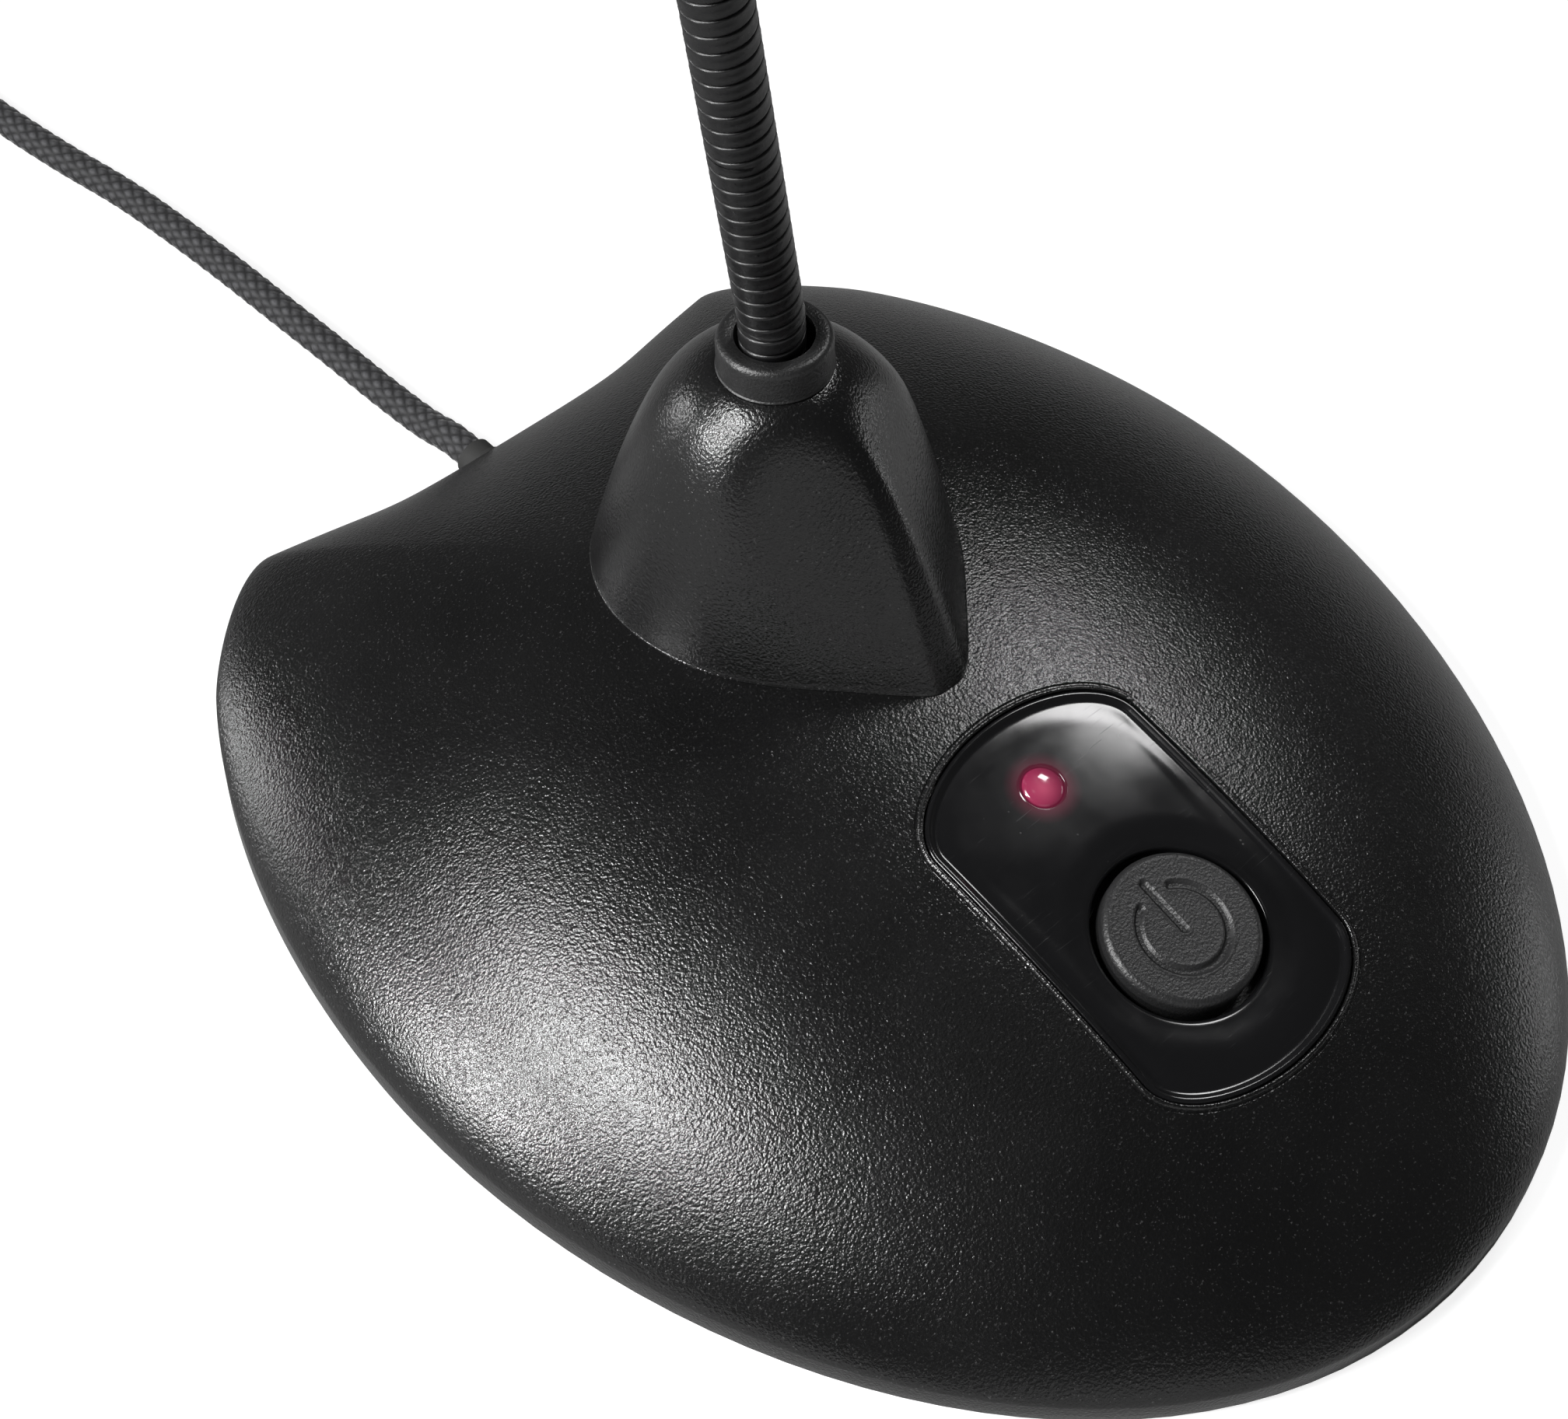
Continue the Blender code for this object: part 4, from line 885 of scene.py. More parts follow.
def board_green(name):
    """Glass-epoxy board under green lacquer: woven glass shows through, with darker tracks."""
    look = Finish(name)
    weave = look.over(
        "TexBrick", "Color", Scale=900.0,
        Color1=(0.012, 0.09, 0.03, 1.0), Color2=(0.016, 0.12, 0.04, 1.0), Mortar=(0.008, 0.06, 0.02, 1.0),
    )
    tracks = look.over("TexVoronoi", "Distance", Scale=420.0, feature="DISTANCE_TO_EDGE")
    between = look.ramp(tracks, (0.5, 0.6, 0.5), (1.1, 1.1, 1.1), 0.03, 0.08)
    look.give("Base Color", look.blended("MULTIPLY", 0.6, weave, between))
    look.give("Roughness", look.span(tracks, 0.35, 0.5))
    look.embossed(tracks, 0.4, 0.00003)
    return look.material


refinish(ballast_iron, "ballast_weight")
refinish(bush_zinc, "neck_bush", "neck_nut", "board_screw_1", "board_screw_2")
refinish(capsule_tin, "mic_capsule")
refinish(post_brass, "board_post_1", "board_post_2")
refinish(switch_plastic, "switch_body")
refinish(tongue_plastic, "switch_plunger", "lamp_holder")
refinish(foot_rubber, "capsule_holder")
refinish(board_green("green board"), "circuit_board")

# ---------------------------------------------------------------- panel
# A glossy black acrylic insert pressed into the pocket. It follows the dome,
# has a rounded rim all round, and dips in a shallow dish round the button.
def panel_face(u, v):
    """The height of the panel's face in its frame: a slight crown, with a dish round the button."""
    bowl = eased((11.6 * mm - math.hypot(u, v)) / (3.4 * mm))
    return 0.0002 + 0.0049 * v - 2.0 * u * u - 1.8 * v * v - 0.00028 * bowl


well_r = 8.2 * mm
rings = []
for inwards, drop in (
    (0.0, -2.1), (0.0, -0.26), (0.04, -0.14), (0.14, -0.05), (0.28, -0.02),
    (0.42, -0.04), (0.56, -0.12), (0.7, -0.24), (0.86, -0.34), (1.1, -0.4),
):
    low = drop < -1.0  # the foot of the rim is level; the rest follows the dome
    ring = []
    for p in panel_outline(-0.05 - inwards, 32):
        w = drop * mm if low else dome_over_panel(*p) + drop * mm
        ring.append(panel_frame @ Vector((*p, w)))
    rings.append(ring)
inner_line = panel_outline(-0.05 - 1.3, 32)
for k in range(30):
    share = k / 29
    ring = []
    for p in inner_line:
        q = p + (p.normalized() * (well_r + 0.5 * mm) - p) * share
        near = eased(1.0 - (q - p).length / (2.6 * mm))
        face = panel_face(*q)
        ring.append(panel_frame @ Vector((*q, face + (dome_over_panel(*q) - 0.4 * mm - face) * near)))
    rings.append(ring)
for r, drop in ((0.32, 0.04), (0.14, 0.14), (0.03, 0.3), (0.0, 0.5)):
    brink = [p.normalized() * (well_r + r * mm) for p in inner_line]
    rings.append([panel_frame @ Vector((*q, panel_face(*q) - drop * mm)) for q in brink])
rings.append([panel_frame @ Vector((*(p.normalized() * well_r), -2.1 * mm)) for p in inner_line])
panel = lofted("panel", rings + [rings[0]], False, False)
lamp_at = Vector((0.0, 17.9 * mm))
cut_out(panel, post(2.25 * mm, -6.0 * mm, 5.0 * mm, lamp_at, 64, panel_frame))


def glow_round(look, place, radius):
    """A soft ball of light round a place: 1 in its middle, 0 at its radius."""
    centred = look.over("Mapping", "Vector", Location=-place / radius, Scale=(1 / radius,) * 3)
    return look.add("TexGradient", Vector=centred, gradient_type="QUADRATIC_SPHERE").outputs["Fac"]


def glossy_acrylic(name):
    """Polished black acrylic: hair scratches, handling marks, dust specks, and a red glow round the lamp's hole that
    is painted light of the lamp, emitted by the acrylic.
    """
    look = Finish(name)
    scratches = []
    for turn, length in ((25.0, 40.0), (-50.0, 55.0)):
        lean = look.over("Mapping", "Vector", Rotation=(0.0, 0.0, math.radians(turn)), Scale=(1.0, length, 1.0))
        hairs = look.add("TexNoise", Vector=lean, Scale=140.0, Detail=3.0, Roughness=0.6).outputs["Fac"]
        scratches.append(look.span(hairs, 0.0, 1.0, 0.66, 0.72))
    haze = look.noise(90.0, 4.0, 0.65)
    specks = look.span(look.over("TexVoronoi", "Distance", Scale=650.0), 1.0, 0.0, 0.03, 0.09)
    few = look.maths("MULTIPLY", specks, look.span(haze, 0.0, 0.8, 0.55, 0.62))
    look.give("Base Color", look.ramp(few, (0.006, 0.006, 0.0065), (0.09, 0.09, 0.088)))
    dulled = look.span(haze, 0.1, 0.19, 0.35, 0.7)
    look.give("Roughness", look.maths("MULTIPLY_ADD", look.maths("MAXIMUM", *scratches), 0.12, dulled))
    look.embossed(haze, 0.25, 0.00001)
    # Red emission round the lamp's hole: painted light of the lamp, since the acrylic is no lamp.
    glow = glow_round(look, panel_frame @ Vector((*lamp_at, 0.0)), 4.4 * mm)
    look.give("Emission Color", look.ramp(glow, (0.0, 0.0, 0.0), (0.3, 0.03, 0.08), 0.02, 0.42))
    look.give("Emission Strength", 0.5)
    return look.material


acrylic = glossy_acrylic("glossy black acrylic")
settle(panel, "control_panel", acrylic, 30.0)
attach(panel, "base")
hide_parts("panel_insert")

# ---------------------------------------------------------------- lamp
# The crimson "on" lamp: a shallow moulded lens lit from below by a diode, in
# a thin polished lip.
lamp_frame = panel_frame @ Matrix.Translation((*lamp_at, panel_face(*lamp_at)))


def turned(steps, frame_of, sides=64):
    """A circle extruded and resized through (radius, height) steps in millimetres, along Z of its frame."""
    bpy.ops.object.select_all(action="DESELECT")
    (r, z), *rest = [(r * mm, z * mm) for r, z in steps]
    bpy.ops.mesh.primitive_circle_add(vertices=sides, radius=r, fill_type="NGON", location=(0.0, 0.0, z))
    made = bpy.context.object
    bpy.ops.object.transform_apply(location=True, rotation=True, scale=True)
    bpy.ops.object.mode_set(mode="EDIT")
    bpy.ops.mesh.select_all(action="SELECT")
    for r_next, z_next in rest:
        bpy.ops.mesh.extrude_region_move(TRANSFORM_OT_translate={"value": (0.0, 0.0, z_next - z)})
        bpy.ops.transform.resize(value=(r_next / r, r_next / r, 1.0), center_override=(0.0, 0.0, z_next))
        r, z = r_next, z_next
    bpy.ops.object.mode_set(mode="OBJECT")
    made.data.transform(frame_of)
    return made


def arc(r_middle, z_middle, radius, degrees):
    """Steps round an arc, for turned."""
    angles = [math.radians(d) for d in degrees]
    return [(r_middle + radius * math.cos(a), z_middle + radius * math.sin(a)) for a in angles]


def crimson_lens(name):
    """Tinted lens over a lit diode: brighter over the diode, deeper red at the edge, with moulding specks."""
    look = Finish(name)
    heart = glow_round(look, lamp_frame @ Vector((-0.2 * mm, -0.2 * mm, 0.1 * mm)), 2.6 * mm)
    specks = look.noise(1800.0, 3.0)
    # The base colour is lighter over the diode: painted light of the diode. The emission is the lamp's own glow.
    look.give("Base Color", look.ramp(heart, (0.16, 0.012, 0.04), (0.26, 0.04, 0.08), 0.0, 0.7))
    look.give("Emission Color", look.ramp(heart, (0.18, 0.012, 0.05), (0.42, 0.07, 0.13), 0.0, 0.75))
    look.give("Emission Strength", 0.4)
    look.give("Coat Weight", 0.6)
    look.give("Coat Roughness", 0.06)
    look.give("Roughness", look.span(specks, 0.08, 0.22, 0.35, 0.65))
    look.embossed(specks, 0.2, 0.00001)
    return look.material


lens_steps = [(2.9, -2.6), (2.9, -1.9), (1.95, -1.9), (1.95, -0.1)]
for k in range(1, 15):
    a = math.radians(90 * k / 14.3)
    lens_steps.append((1.95 * math.cos(a), -0.1 + 0.62 * math.sin(a)))
lens = settle(turned(lens_steps, lamp_frame), "lamp_dome", crimson_lens("crimson lens"), 40.0)
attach(lens, "base")
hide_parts("lamp_lens")

lip = turned([
    (2.06, -0.5), (2.3, -0.5), (2.36, -0.02), (2.34, 0.06), (2.27, 0.11),
    (2.18, 0.1), (2.09, 0.02), (2.02, -0.14), (2.0, -0.45),
], lamp_frame)
cut_out(lip, post(1.99 * mm, -3.0 * mm, 3.0 * mm, (0.0, 0.0), 64, lamp_frame))
settle(lip, "lamp_lip", acrylic, 40.0)
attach(lip, "base")

# ---------------------------------------------------------------- button
# The round push button: a grained cap with a rounded edge that stands a little
# proud of the panel. A stand-by sign, a broken ring with a bar, is sunk in it.
button_r, button_top, edge_r = 7.45 * mm, 1.0 * mm, 0.75 * mm
sign_r, sign_half, sign_depth = 4.15 * mm, 0.5 * mm, 0.3 * mm
sign_gap = math.radians(27.0)


def sign_sink(x, y):
    """How deep the stand-by sign is sunk at a place on the cap."""
    r, a = math.hypot(x, y), abs(math.atan2(x, y))
    if a > sign_gap:
        off = abs(r - sign_r)
    else:
        off = math.hypot(abs(x) - sign_r * math.sin(sign_gap), y - sign_r * math.cos(sign_gap))
    off = min(off, math.hypot(x, max(-y - 0.1 * mm, y - 5.2 * mm, 0.0)))
    lip = math.exp(-(((off - sign_half - 0.08 * mm) / (0.12 * mm)) ** 2))
    return sign_depth * eased((sign_half - off) / (0.34 * mm)) - 0.03 * mm * lip


def cap_ring(r, z, sunk=False):
    """One ring of the cap, with the sign sunk in it where it crosses the top."""
    sides = 220
    ring = []
    for j in range(sides):
        a = 2 * math.pi * j / sides
        x, y = r * math.cos(a), r * math.sin(a)
        ring.append(panel_frame @ Vector((x, y, z - sign_sink(x, y) if sunk else z)))
    return ring


rings = [
    cap_ring(r * mm, z * mm) for r, z in ((6.25, -4.3), (6.25, -5.2), (8.9, -5.2), (8.9, -4.45), (7.45, -4.4))
]
for k in range(9):
    a = math.radians(90 * k / 8)
    rings.append(cap_ring(button_r - edge_r + edge_r * math.cos(a), button_top - edge_r + edge_r * math.sin(a)))
top_steps = 62
for k in range(1, top_steps):
    r = (button_r - edge_r) * (1.0 - k / top_steps)
    rings.append(cap_ring(r, button_top - 0.06 * mm * (1.0 - (r / button_r) ** 2), True))
cap = lofted("cap", rings)
cap_plastic = moulded(
    "grained button", (0.012, 0.012, 0.0124), (0.018, 0.018, 0.0185), 4600.0, 0.4, 0.00005, 0.5, 0.03,
)
settle(cap, "power_button", cap_plastic, 35.0)
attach(cap, "button")
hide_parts("button_cap")

# ---------------------------------------------------------------- turret
# The separately moulded cover over the neck's fixing: round at the back, drawn
# forward into a soft prow, and domed over at the top to the neck's ring. A fine
# lip runs round its foot where it meets the base.
neck_base = Vector((0.0, neck_y))
lean = math.radians(4.5)
foot_z, top_z, rear_r = 21.0 * mm, 48.6 * mm, 17.2 * mm


def turret_foot():
    """The footprint: a prow, two cheeks and a round rear, measured from the neck."""
    cheek, turn = heading(48.5), math.radians(5.0)
    start = heading(5.0)
    right = right_and_left([
        (Vector((0.0, -1.2 * mm)), None, across * 2.2 * mm),
        (Vector((9.6, 6.7)) * mm, cheek * -10.8 * mm, cheek * 7.4 * mm),
        (neck_base + start * rear_r, Vector((-start.y, start.x)) * -7.9 * mm, None),
    ], 26)[:53]
    for k in range(1, 41):
        a = turn + (math.pi / 2 - turn) * k / 40
        right.append(neck_base + Vector((math.cos(a), math.sin(a))) * rear_r)
    right[-1].x = 0.0
    return [p - neck_base for p in right + [Vector((-p.x, p.y)) for p in reversed(right[1:-1])]]


def turret_wall(away, s, thick=0.0):
    """A place on the wall, s of the way from the foot to the top, thick inside the outer face."""
    ahead = eased((-away.y / away.length - 0.35) / 0.6)
    out = (1.0 - s**1.09) ** (1.0 / (1.75 - 0.42 * ahead))
    reach = away * out + away.normalized() * ((7.0 - 1.4 * ahead) * mm * (1.0 - out) - thick)
    q = neck_base + reach
    return Vector((q.x + 0.8 * mm, q.y, foot_z + (top_z - foot_z - thick) * s - math.tan(lean) * (q.y - neck_y) * s))


def round_neck(outward, r, z):
    """A place round the neck's hole, r from its middle and z above the leaning top."""
    x, y = outward.x * r * mm, outward.y * r * mm
    return Vector((x, neck_y + y, top_z + z * mm - math.tan(lean) * y))


# Each column runs up the outside from the lip at the foot, over the shoulder
# into the neck's hole, and down the inside of the wall.
shoulder = 0.7
columns = []
for away in turret_foot():
    low, high = -0.3, 0.8
    for _ in range(24):
        s = (low + high) / 2
        p = turret_wall(away, max(s, 0.0))
        p.z += min(s, 0.0) * (top_z - foot_z)
        low, high = (s, high) if p.z < dome_at(p.x, p.y) + 0.24 * mm else (low, s)
    foot_s = max(low, 0.0)
    at_foot = turret_wall(away, foot_s)
    outward = away.normalized()
    column = []
    for out, height in ((0.03, 0.02), (0.09, 0.04), (0.11, 0.09), (0.09, 0.14), (0.04, 0.18)):
        x, y = at_foot.x + outward.x * out * mm, at_foot.y + outward.y * out * mm
        column.append(Vector((x, y, dome_at(x, y) + height * mm)))
    for k in range(29):
        column.append(turret_wall(away, foot_s + (shoulder - foot_s) * k / 28))
    last, before = column[-1], turret_wall(away, shoulder - 0.01)
    seat = round_neck(outward, 5.35, 0.1)
    settling = Vector((outward.x, outward.y, -0.4 - math.tan(lean) * outward.y))
    pull_on, pull_in = last + (last - before).normalized() * 4.6 * mm, seat + settling * 2.6 * mm
    column += interpolate_bezier(last, pull_on, pull_in, seat, 26)[1:]
    column += [round_neck(outward, r, z) for r, z in ((5.1, 0.1), (4.0, 0.1), (3.9, 0.0), (3.9, -2.4))]
    for k in range(14):
        column.append(turret_wall(away, max(0.9 + (foot_s - 0.9) * k / 13, 0.0), 2.4 * mm))
    inner = column[-1]
    column[-1] = Vector((inner.x, inner.y, dome_at(inner.x, inner.y) + 0.1 * mm))
    columns.append(column + [column[0].copy()])
turret = lofted("turret", list(map(list, zip(*columns))), False, False)
turret_plastic = moulded(
    "satin turret", (0.004, 0.004, 0.0041), (0.0066, 0.0066, 0.0067), 3900.0, 0.22, 0.00005, 0.55, 0.045,
)
settle(turret, "neck_turret", turret_plastic, 32.0)
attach(turret, "base")
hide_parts("turret_cover")

# ---------------------------------------------------------------- collar
# The ring that trims the neck's hole: a flat, lightly grained top with a
# rounded rim, pressed on to the turret.
socket_frame = Matrix.Translation((0.15 * mm, neck_y - 0.1 * mm, 48.9 * mm)) @ Matrix.Rotation(-lean, 4, "X")
ring = turned([
    (5.2, -0.15), (5.34, -0.08), (5.36, 0.0), (5.31, 0.06), (5.25, 0.12), (5.24, 2.7),
    *arc(4.54, 2.7, 0.7, range(12, 91, 13)), (4.0, 3.4), (3.85, 3.36),
], socket_frame, 96)
cut_out(ring, post(3.62 * mm, -3.0 * mm, 6.0 * mm, (0.0, 0.0), 96, socket_frame))
collar_plastic = moulded("collar", (0.008, 0.008, 0.0082), (0.012, 0.012, 0.0122), 4800.0, 0.4, 0.00004, 0.55, 0.02)
settle(ring, "neck_collar", collar_plastic, 35.0)
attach(ring, "base")
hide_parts("collar_ring")

# ---------------------------------------------------------------- gooseneck
# A steel gooseneck, blackened and oiled: a wire of rounded section is wound in
# one close helix over a core, so every turn shows as a bead with a sharp seam.
# It is made in ten lengths along a centre line that bends at each of the neck's joints.
bead_r, bead_pitch = 3.0 * mm, 1.78 * mm
link_length = 22.0 * mm


def neck_direction(index):
    """Which way link number index points; the root is 0."""
    beyond = max(index - 2, 0)
    tilt = math.radians(-2.0 + 4.6 * beyond)
    side = math.radians(9.0 - beyond)
    return Vector((-math.tan(side), -math.tan(tilt), 1.0)).normalized()


ring_top = Vector((0.0, neck_y, 52.3 * mm))
joints = [ring_top + neck_direction(0) * 14.0 * mm]
for i in range(1, 9):
    joints.append(joints[-1] + neck_direction(i) * link_length)
middles = [(a + b) / 2 for a, b in zip(joints, joints[1:])]
neck_foot = Vector((0.0, neck_y, 43.0 * mm))
root_end = joints[0] - neck_direction(0) * 11.0 * mm

# The centre line in short steps, with the length at which each piece ends.
line, ends = [neck_foot], []


def follow(a, control, b):
    """Runs the centre line on along a bend from a to b that is drawn by control."""
    steps = max(int((b - a).length / (0.25 * mm)), 2)
    for k in range(1, steps + 1):
        t = k / steps
        line.append(a * (1 - t) ** 2 + control * 2 * t * (1 - t) + b * t**2)
    ends.append(len(line) - 1)


# Below the ring the neck eases from upright at its foot into its lean.
bend = ring_top - neck_direction(0) * 4.9 * mm
bend.x *= 0.7
follow(neck_foot, (neck_foot + bend) / 2 + Vector((0.0, 0.0, 0.5 * mm)), root_end)
places_on = [root_end] + middles[:8]
for i in range(8):
    follow(places_on[i], joints[i], places_on[i + 1])
follow(middles[7], (middles[7] + joints[8]) / 2, joints[8] + neck_direction(8) * 2.0 * mm)

lengths = [0.0]
for a, b in zip(line, line[1:]):
    lengths.append(lengths[-1] + (b - a).length)
sides_of = []
side = Vector((1.0, 0.0, 0.0))
for i in range(len(line)):
    ahead = (line[min(i + 1, len(line) - 1)] - line[max(i - 1, 0)]).normalized()
    side = (side - ahead * side.dot(ahead)).normalized()
    sides_of.append((side.copy(), ahead.cross(side)))


def on_neck(length, angle, radius):
    """A place on the neck's skin."""
    i = min(max(bisect.bisect(lengths, length) - 1, 0), len(line) - 2)
    share = min(max((length - lengths[i]) / (lengths[i + 1] - lengths[i]), 0.0), 1.0)
    centre = line[i].lerp(line[i + 1], share)
    along, up = (sides_of[i][n].lerp(sides_of[i + 1][n], share) for n in (0, 1))
    return centre + (along * math.cos(angle) + up * math.sin(angle)) * radius


# One turn of the wire in section: how far along the turn, and how deep in millimetres.
bead_shape = [
    (0.0, -0.3), (0.03, -0.2), (0.06, -0.08), (0.1, -0.015), (0.17, 0.0), (0.35, -0.035),
    (0.6, -0.04), (0.83, -0.01), (0.9, -0.03), (0.95, -0.12), (0.98, -0.22),
]
neck_sides = 40


def bead_skin(name, low, high):
    """The wound wire from one length along the neck to another, as a helical skin."""
    bm = bmesh.new()
    per = len(bead_shape)
    first = math.floor(low / bead_pitch) - 1
    last = math.ceil(high / bead_pitch) + 1
    made, reach = {}, {}

    def vertex(row, k):
        if k == neck_sides:
            row, k = row + per, 0
        if (row, k) not in made:
            turn, place = divmod(row, per)
            share, sink = bead_shape[place]
            length = (turn + share + k / neck_sides) * bead_pitch
            kept = min(max(length, low), high)
            made[row, k] = bm.verts.new(on_neck(kept, 2 * math.pi * k / neck_sides, bead_r + sink * mm))
            reach[row, k] = length
        return made[row, k]

    for row in range(first * per, last * per):
        for k in range(neck_sides):
            corners = [(row, k), (row, k + 1), (row + 1, k + 1), (row + 1, k)]
            found = [vertex(*c) for c in corners]
            at = [reach[(c[0] + per, 0) if c[1] == neck_sides else c] for c in corners]
            if max(at) <= low or min(at) >= high or len(set(found)) < 4:
                continue
            bm.faces.new(found).smooth = True
    bmesh.ops.delete(bm, geom=[v for v in bm.verts if not v.link_faces], context="VERTS")
    bmesh.ops.remove_doubles(bm, verts=bm.verts, dist=0.000002)
    return piece_from(bm, name)


def blackened_steel(name):
    """Blackened, oiled steel wire: fine drawing lines, a little greyer where it is rubbed, with specks of dust."""
    look = Finish(name, 0.42)
    fine, rubbed = look.noise(3200.0, 3.0, 0.6), look.noise(380.0, 4.0, 0.65)
    dust = look.span(look.over("TexVoronoi", "Distance", Scale=1100.0), 1.0, 0.0, 0.04, 0.12)
    specks = look.maths("MULTIPLY", dust, look.span(rubbed, 0.0, 1.0, 0.56, 0.66))
    black = look.ramp(rubbed, (0.004, 0.004, 0.0043), (0.01, 0.01, 0.0104), 0.35, 0.7)
    dusty = look.ramp(specks, (0.0, 0.0, 0.0), (0.14, 0.14, 0.135))
    look.give("Base Color", look.blended("ADD", 1.0, black, dusty))
    look.give("Roughness", look.span(fine, 0.26, 0.4, 0.3, 0.7))
    look.embossed(fine, 0.5, 0.00002)
    return look.material


wire_black = blackened_steel("blackened wire")
starts = [0.0] + [lengths[i] for i in ends]
for i in range(10):
    skin = bead_skin(f"neck_coil_{i}", starts[i], starts[i + 1])
    skin.data.materials.append(wire_black)
    if i == 0:
        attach(skin, "base")
        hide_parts("neck_root")
    elif i == 9:
        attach(skin, "head")
    else:
        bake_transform(skin)
        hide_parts(f"neck_link_{i}")

# ---------------------------------------------------------------- head
# The small microphone head: a satin black turned housing in line with the
# neck, a ferrule crimped on the neck's end, and a slotted cap over the capsule.
head_way = neck_direction(8)
head_frame = Matrix.Translation(joints[8]) @ head_way.to_track_quat("Z", "Y").to_matrix().to_4x4()
anodised = metal(
    "satin black anodising", (0.012, 0.012, 0.0125), (0.02, 0.02, 0.0205), 0.36, (1.0, 1.0, 14.0), 420.0, 0.000006,
)
anodised.node_tree.nodes["Principled BSDF"].inputs["Metallic"].default_value = 0.5

ferrule = turned([
    (3.5, -5.0), (3.85, -5.0), (4.0, -4.8), (4.0, -4.0), (3.82, -3.85), (3.82, -3.5), (4.0, -3.35), (4.0, -2.6),
    (3.82, -2.45), (3.82, -2.1), (4.0, -1.95), (4.1, -1.0), (4.6, 1.5), (5.4, 4.2), (6.0, 5.7), (6.2, 6.3),
    (6.2, 6.85), (6.05, 7.0),
], head_frame, 72)
cut_out(ferrule, post(3.2 * mm, -8.0 * mm, 2.4 * mm, (0.0, 0.0), 48, head_frame))
settle(ferrule, "neck_sleeve", anodised, 35.0)
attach(ferrule, "head")
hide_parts("neck_ferrule")

housing = turned([
    (5.9, 7.3), (6.08, 7.38), (6.2, 7.6), (6.2, 10.0), (6.06, 10.1), (6.06, 10.5), (6.2, 10.6), (6.2, 24.4),
    (6.06, 24.5), (6.06, 24.9), (6.2, 25.0), (6.2, 27.0), (6.08, 27.22), (5.9, 27.3),
], head_frame, 96)
cut_out(housing, post(5.2 * mm, 8.8 * mm, 30.0 * mm, (0.0, 0.0), 72, head_frame))
settle(housing, "mic_body", anodised, 35.0)
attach(housing, "head")
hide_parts("mic_housing")

# The cap: twelve slots with round ends, and a cluster of holes in its nose.
outer = arc(2.2, 39.6, 4.0, range(10, 91, 10))
grille = turned([(5.4, 27.6), (6.08, 27.6), (6.2, 27.75), (6.2, 39.6), *outer, (0.6, 43.5)], head_frame, 96)
inner = arc(2.2, 39.6, 3.2, range(15, 91, 15))
cut_out(grille, turned([(5.4, 27.0), (5.4, 39.6), *inner], head_frame, 96))
for k in range(6):
    slot = box_at((-9.0 * mm, -0.55 * mm, 30.0 * mm), (9.0 * mm, 0.55 * mm, 38.5 * mm))
    only_this(slot)
    bpy.ops.object.mode_set(mode="EDIT")
    bpy.ops.mesh.select_mode(type="EDGE")
    bpy.ops.mesh.select_all(action="DESELECT")
    bm = bmesh.from_edit_mesh(slot.data)
    for e in bm.edges:
        a, b = e.verts
        e.select = abs((a.co - b.co).normalized().x) > 0.9
    bmesh.update_edit_mesh(slot.data)
    bpy.ops.mesh.bevel(offset=0.54 * mm, segments=5)
    bpy.ops.object.mode_set(mode="OBJECT")
    slot.data.transform(head_frame @ Matrix.Rotation(math.pi * k / 6, 4, "Z"))
    cut_out(grille, slot)
for r, count in ((0.0, 1), (1.5, 6)):
    for k in range(count):
        a = 2 * math.pi * k / count
        at = (r * mm * math.cos(a), r * mm * math.sin(a))
        cut_out(grille, post(0.42 * mm, 38.0 * mm, 46.0 * mm, at, 20, head_frame))
settle(grille, "mic_cap", anodised, 35.0)
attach(grille, "head")
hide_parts("mic_grille")


def woven_wire(name):
    """Fine woven wire cloth behind the slots: dark, with lighter crossings in the base colour that are painted
    highlights.
    """
    look = Finish(name)
    look.give("Metallic", 0.8)
    turn = look.over("Mapping", "Vector", Rotation=(0.4, 0.1, 0.75))
    cloth = look.add("TexMagic", Vector=turn, Scale=1500.0, turbulence_depth=1).outputs["Fac"]
    # Lighter crossings in the base colour: painted highlights on the wire.
    look.give("Base Color", look.ramp(cloth, (0.01, 0.01, 0.01), (0.12, 0.12, 0.12), 0.3, 0.8))
    look.give("Roughness", look.span(look.noise(500.0), 0.35, 0.6))
    look.embossed(cloth, 0.9, 0.0001)
    return look.material


outer, inner = (arc(2.2, 39.5, r, range(18, 91, 18)) for r in (3.1, 2.95))
liner = turned([(5.25, 28.2), (5.3, 28.25), (5.3, 39.5), *outer], head_frame, 72)
cut_out(liner, turned([(5.15, 27.0), (5.15, 39.5), *inner], head_frame, 72))
settle(liner, "mic_cloth", woven_wire("wire cloth"), 40.0)
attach(liner, "head")

# ---------------------------------------------------------------- studio
# A plain pale floor that is greyer behind the object, two soft lamps on the
# left, a high one on the right, low rim lamps behind and on the right, a weak
# broad one in front, and dim light all round that is paler at the horizon.
bpy.ops.object.select_all(action="DESELECT")
bpy.ops.mesh.primitive_plane_add(size=6.0, location=(0.0, 0.0, -0.0002))
floor = bpy.context.object
floor.name = "floor"
look = Finish("pale floor", 0.2)
backwards = look.span(look.add("SeparateXYZ", Vector=look.where["Object"]).outputs["Y"], 0.0, 1.0, -0.03, 0.09)
tone = look.ramp(backwards, (0.44, 0.44, 0.44), (0.2, 0.2, 0.2))
mottled = look.ramp(look.noise(60.0, 3.0), (0.95, 0.95, 0.95), (1.0, 1.0, 1.0))
look.give("Base Color", look.blended("MULTIPLY", 1.0, tone, mottled))
look.give("Roughness", 0.9)
plain, lit = look.tree.nodes["Principled BSDF"].outputs[0], look.add("AddShader")
look.feed(lit.inputs[0], plain)
look.feed(lit.inputs[1], look.add("Emission", Strength=0.84).outputs[0])
surface = look.add("MixShader")
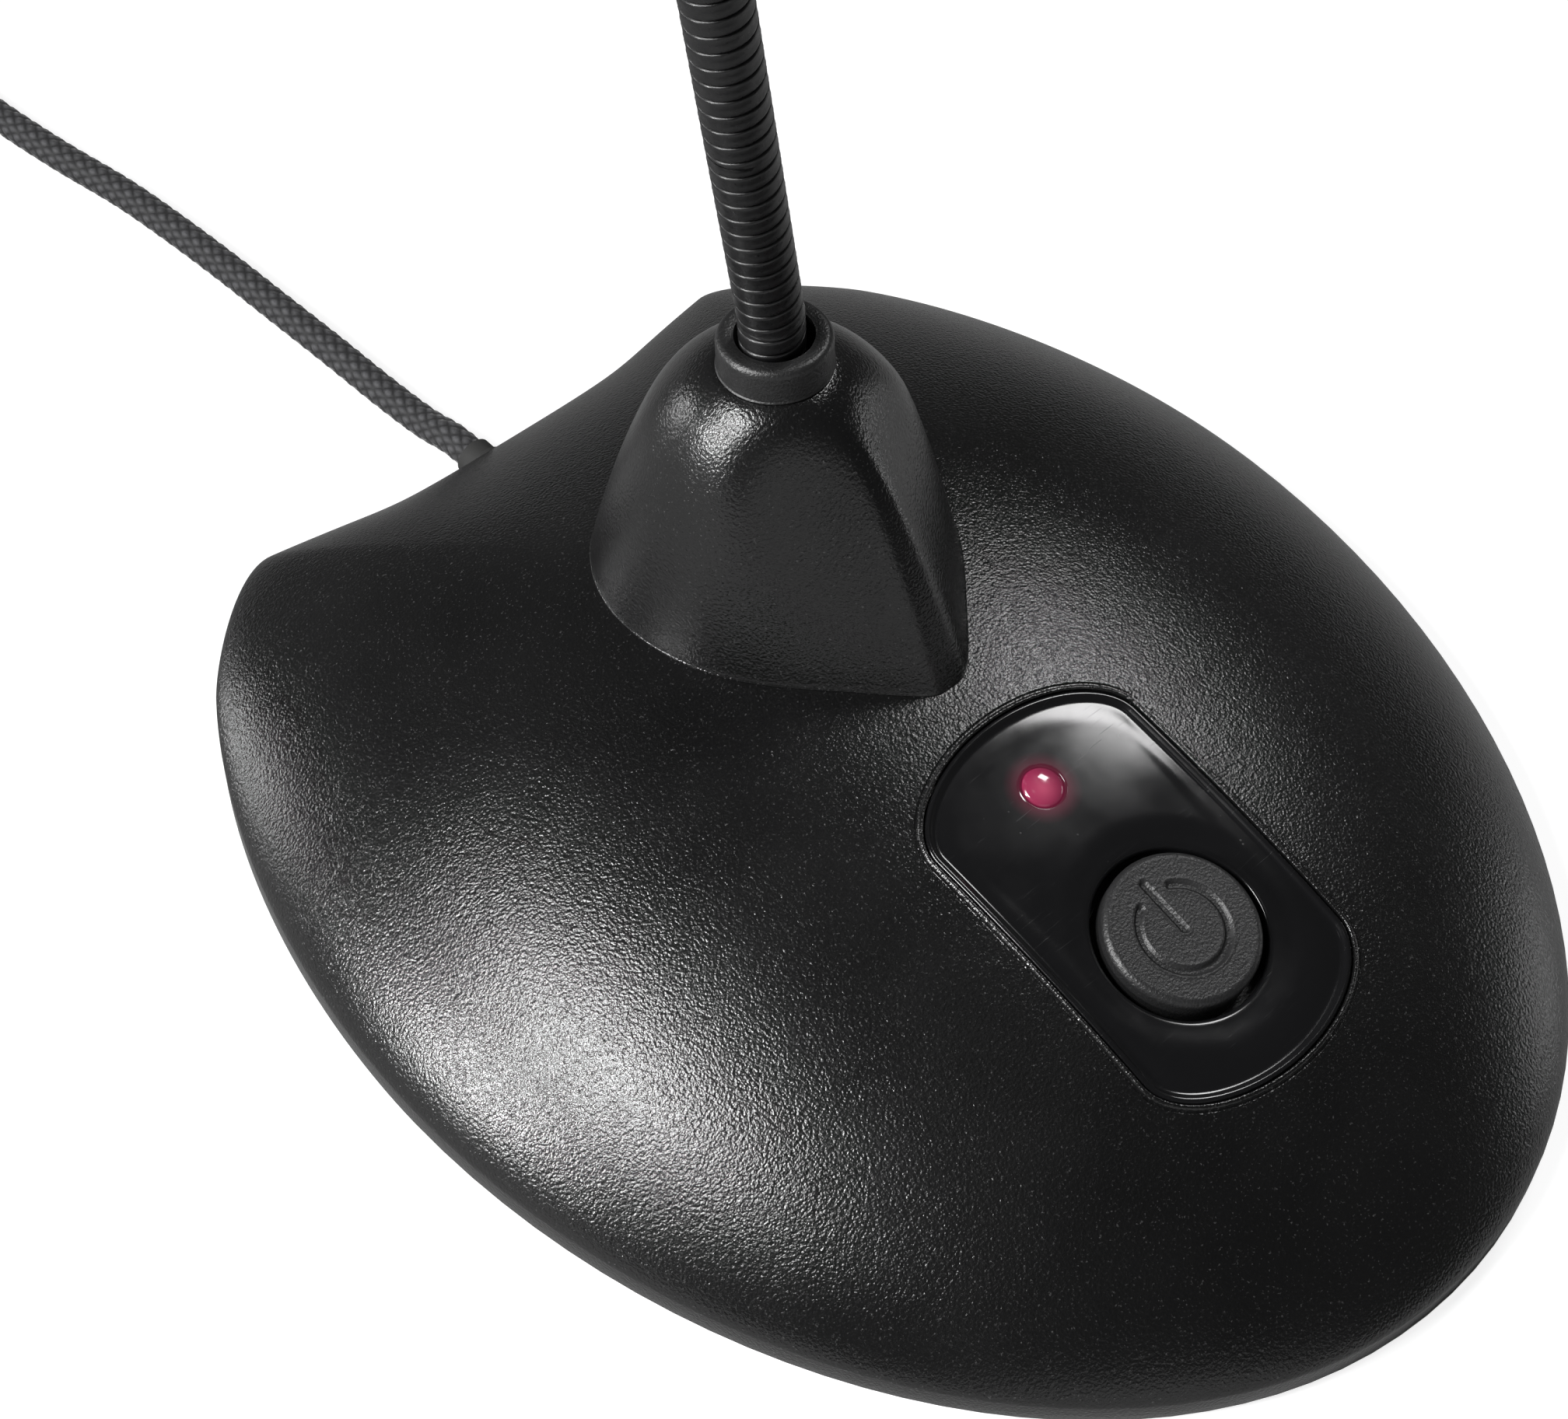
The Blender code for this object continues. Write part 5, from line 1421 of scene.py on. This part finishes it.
for socket, value in zip(surface.inputs, (look.add("LightPath").outputs["Is Camera Ray"], plain, lit.outputs[0])):
    look.feed(socket, value)
look.feed(look.tree.nodes["Material Output"].inputs["Surface"], surface.outputs[0])
floor.data.materials.append(look.material)

world = bpy.data.worlds.new("studio")
world.use_nodes = True
bpy.context.scene.world = world
nodes, wires = world.node_tree.nodes, world.node_tree.links
way = nodes.new("ShaderNodeTexCoord")
height = nodes.new("ShaderNodeSeparateXYZ")
wires.new(way.outputs["Generated"], height.inputs[0])
fade = nodes.new("ShaderNodeValToRGB")
stops = fade.color_ramp.elements
stops.new(254 / 255)
for stop, value in zip(stops, (0.1, 0.0253, 1.0)):
    stop.color = (value, value, value, 1.0)  # evenly dimmer up to a small bright spot overhead
wires.new(height.outputs["Z"], fade.inputs["Fac"])
paths = nodes.new("ShaderNodeLightPath")
shown = nodes.new("ShaderNodeMix")
shown.data_type = "RGBA"
wires.new(paths.outputs["Is Camera Ray"], shown.inputs[0])
wires.new(fade.outputs["Color"], shown.inputs[6])
shown.inputs[7].default_value = (1.0, 1.0, 1.0, 1.0)
wires.new(shown.outputs[2], nodes["Background"].inputs["Color"])


def soft_lamp(name, bearing, elevation, distance, width, tall, power):
    """A rectangular soft lamp, seen from the base at that bearing (from +X towards +Y) and elevation."""
    b, e = math.radians(bearing), math.radians(elevation)
    way = Vector((math.cos(e) * math.cos(b), math.cos(e) * math.sin(b), math.sin(e)))
    data = bpy.data.lights.new(name, "AREA")
    data.shape = "RECTANGLE"
    data.size, data.size_y = width, tall
    data.energy = power
    lamp = bpy.data.objects.new(name, data)
    bpy.context.scene.collection.objects.link(lamp)
    lamp.location = Vector((0.0, 0.0, 0.02)) + way * distance
    lamp.rotation_euler = way.to_track_quat("Z", "Y").to_euler()


soft_lamp("left lamp", 162.0, 48.0, 0.9, 0.38, 0.18, 8.8)
soft_lamp("low left lamp", 158.0, 21.0, 0.9, 0.16, 0.15, 6.6)
soft_lamp("rear rim lamp", 118.0, 4.0, 0.9, 0.26, 0.1, 1.4)
soft_lamp("right rim lamp", -24.0, 2.0, 0.9, 0.3, 0.08, 0.4)
soft_lamp("right lamp", 15.0, 51.0, 1.0, 0.24, 0.2, 2.8)
soft_lamp("front lamp", -115.0, 8.0, 1.2, 0.9, 0.5, 0.8)
bpy.context.scene.view_settings.view_transform = "Standard"
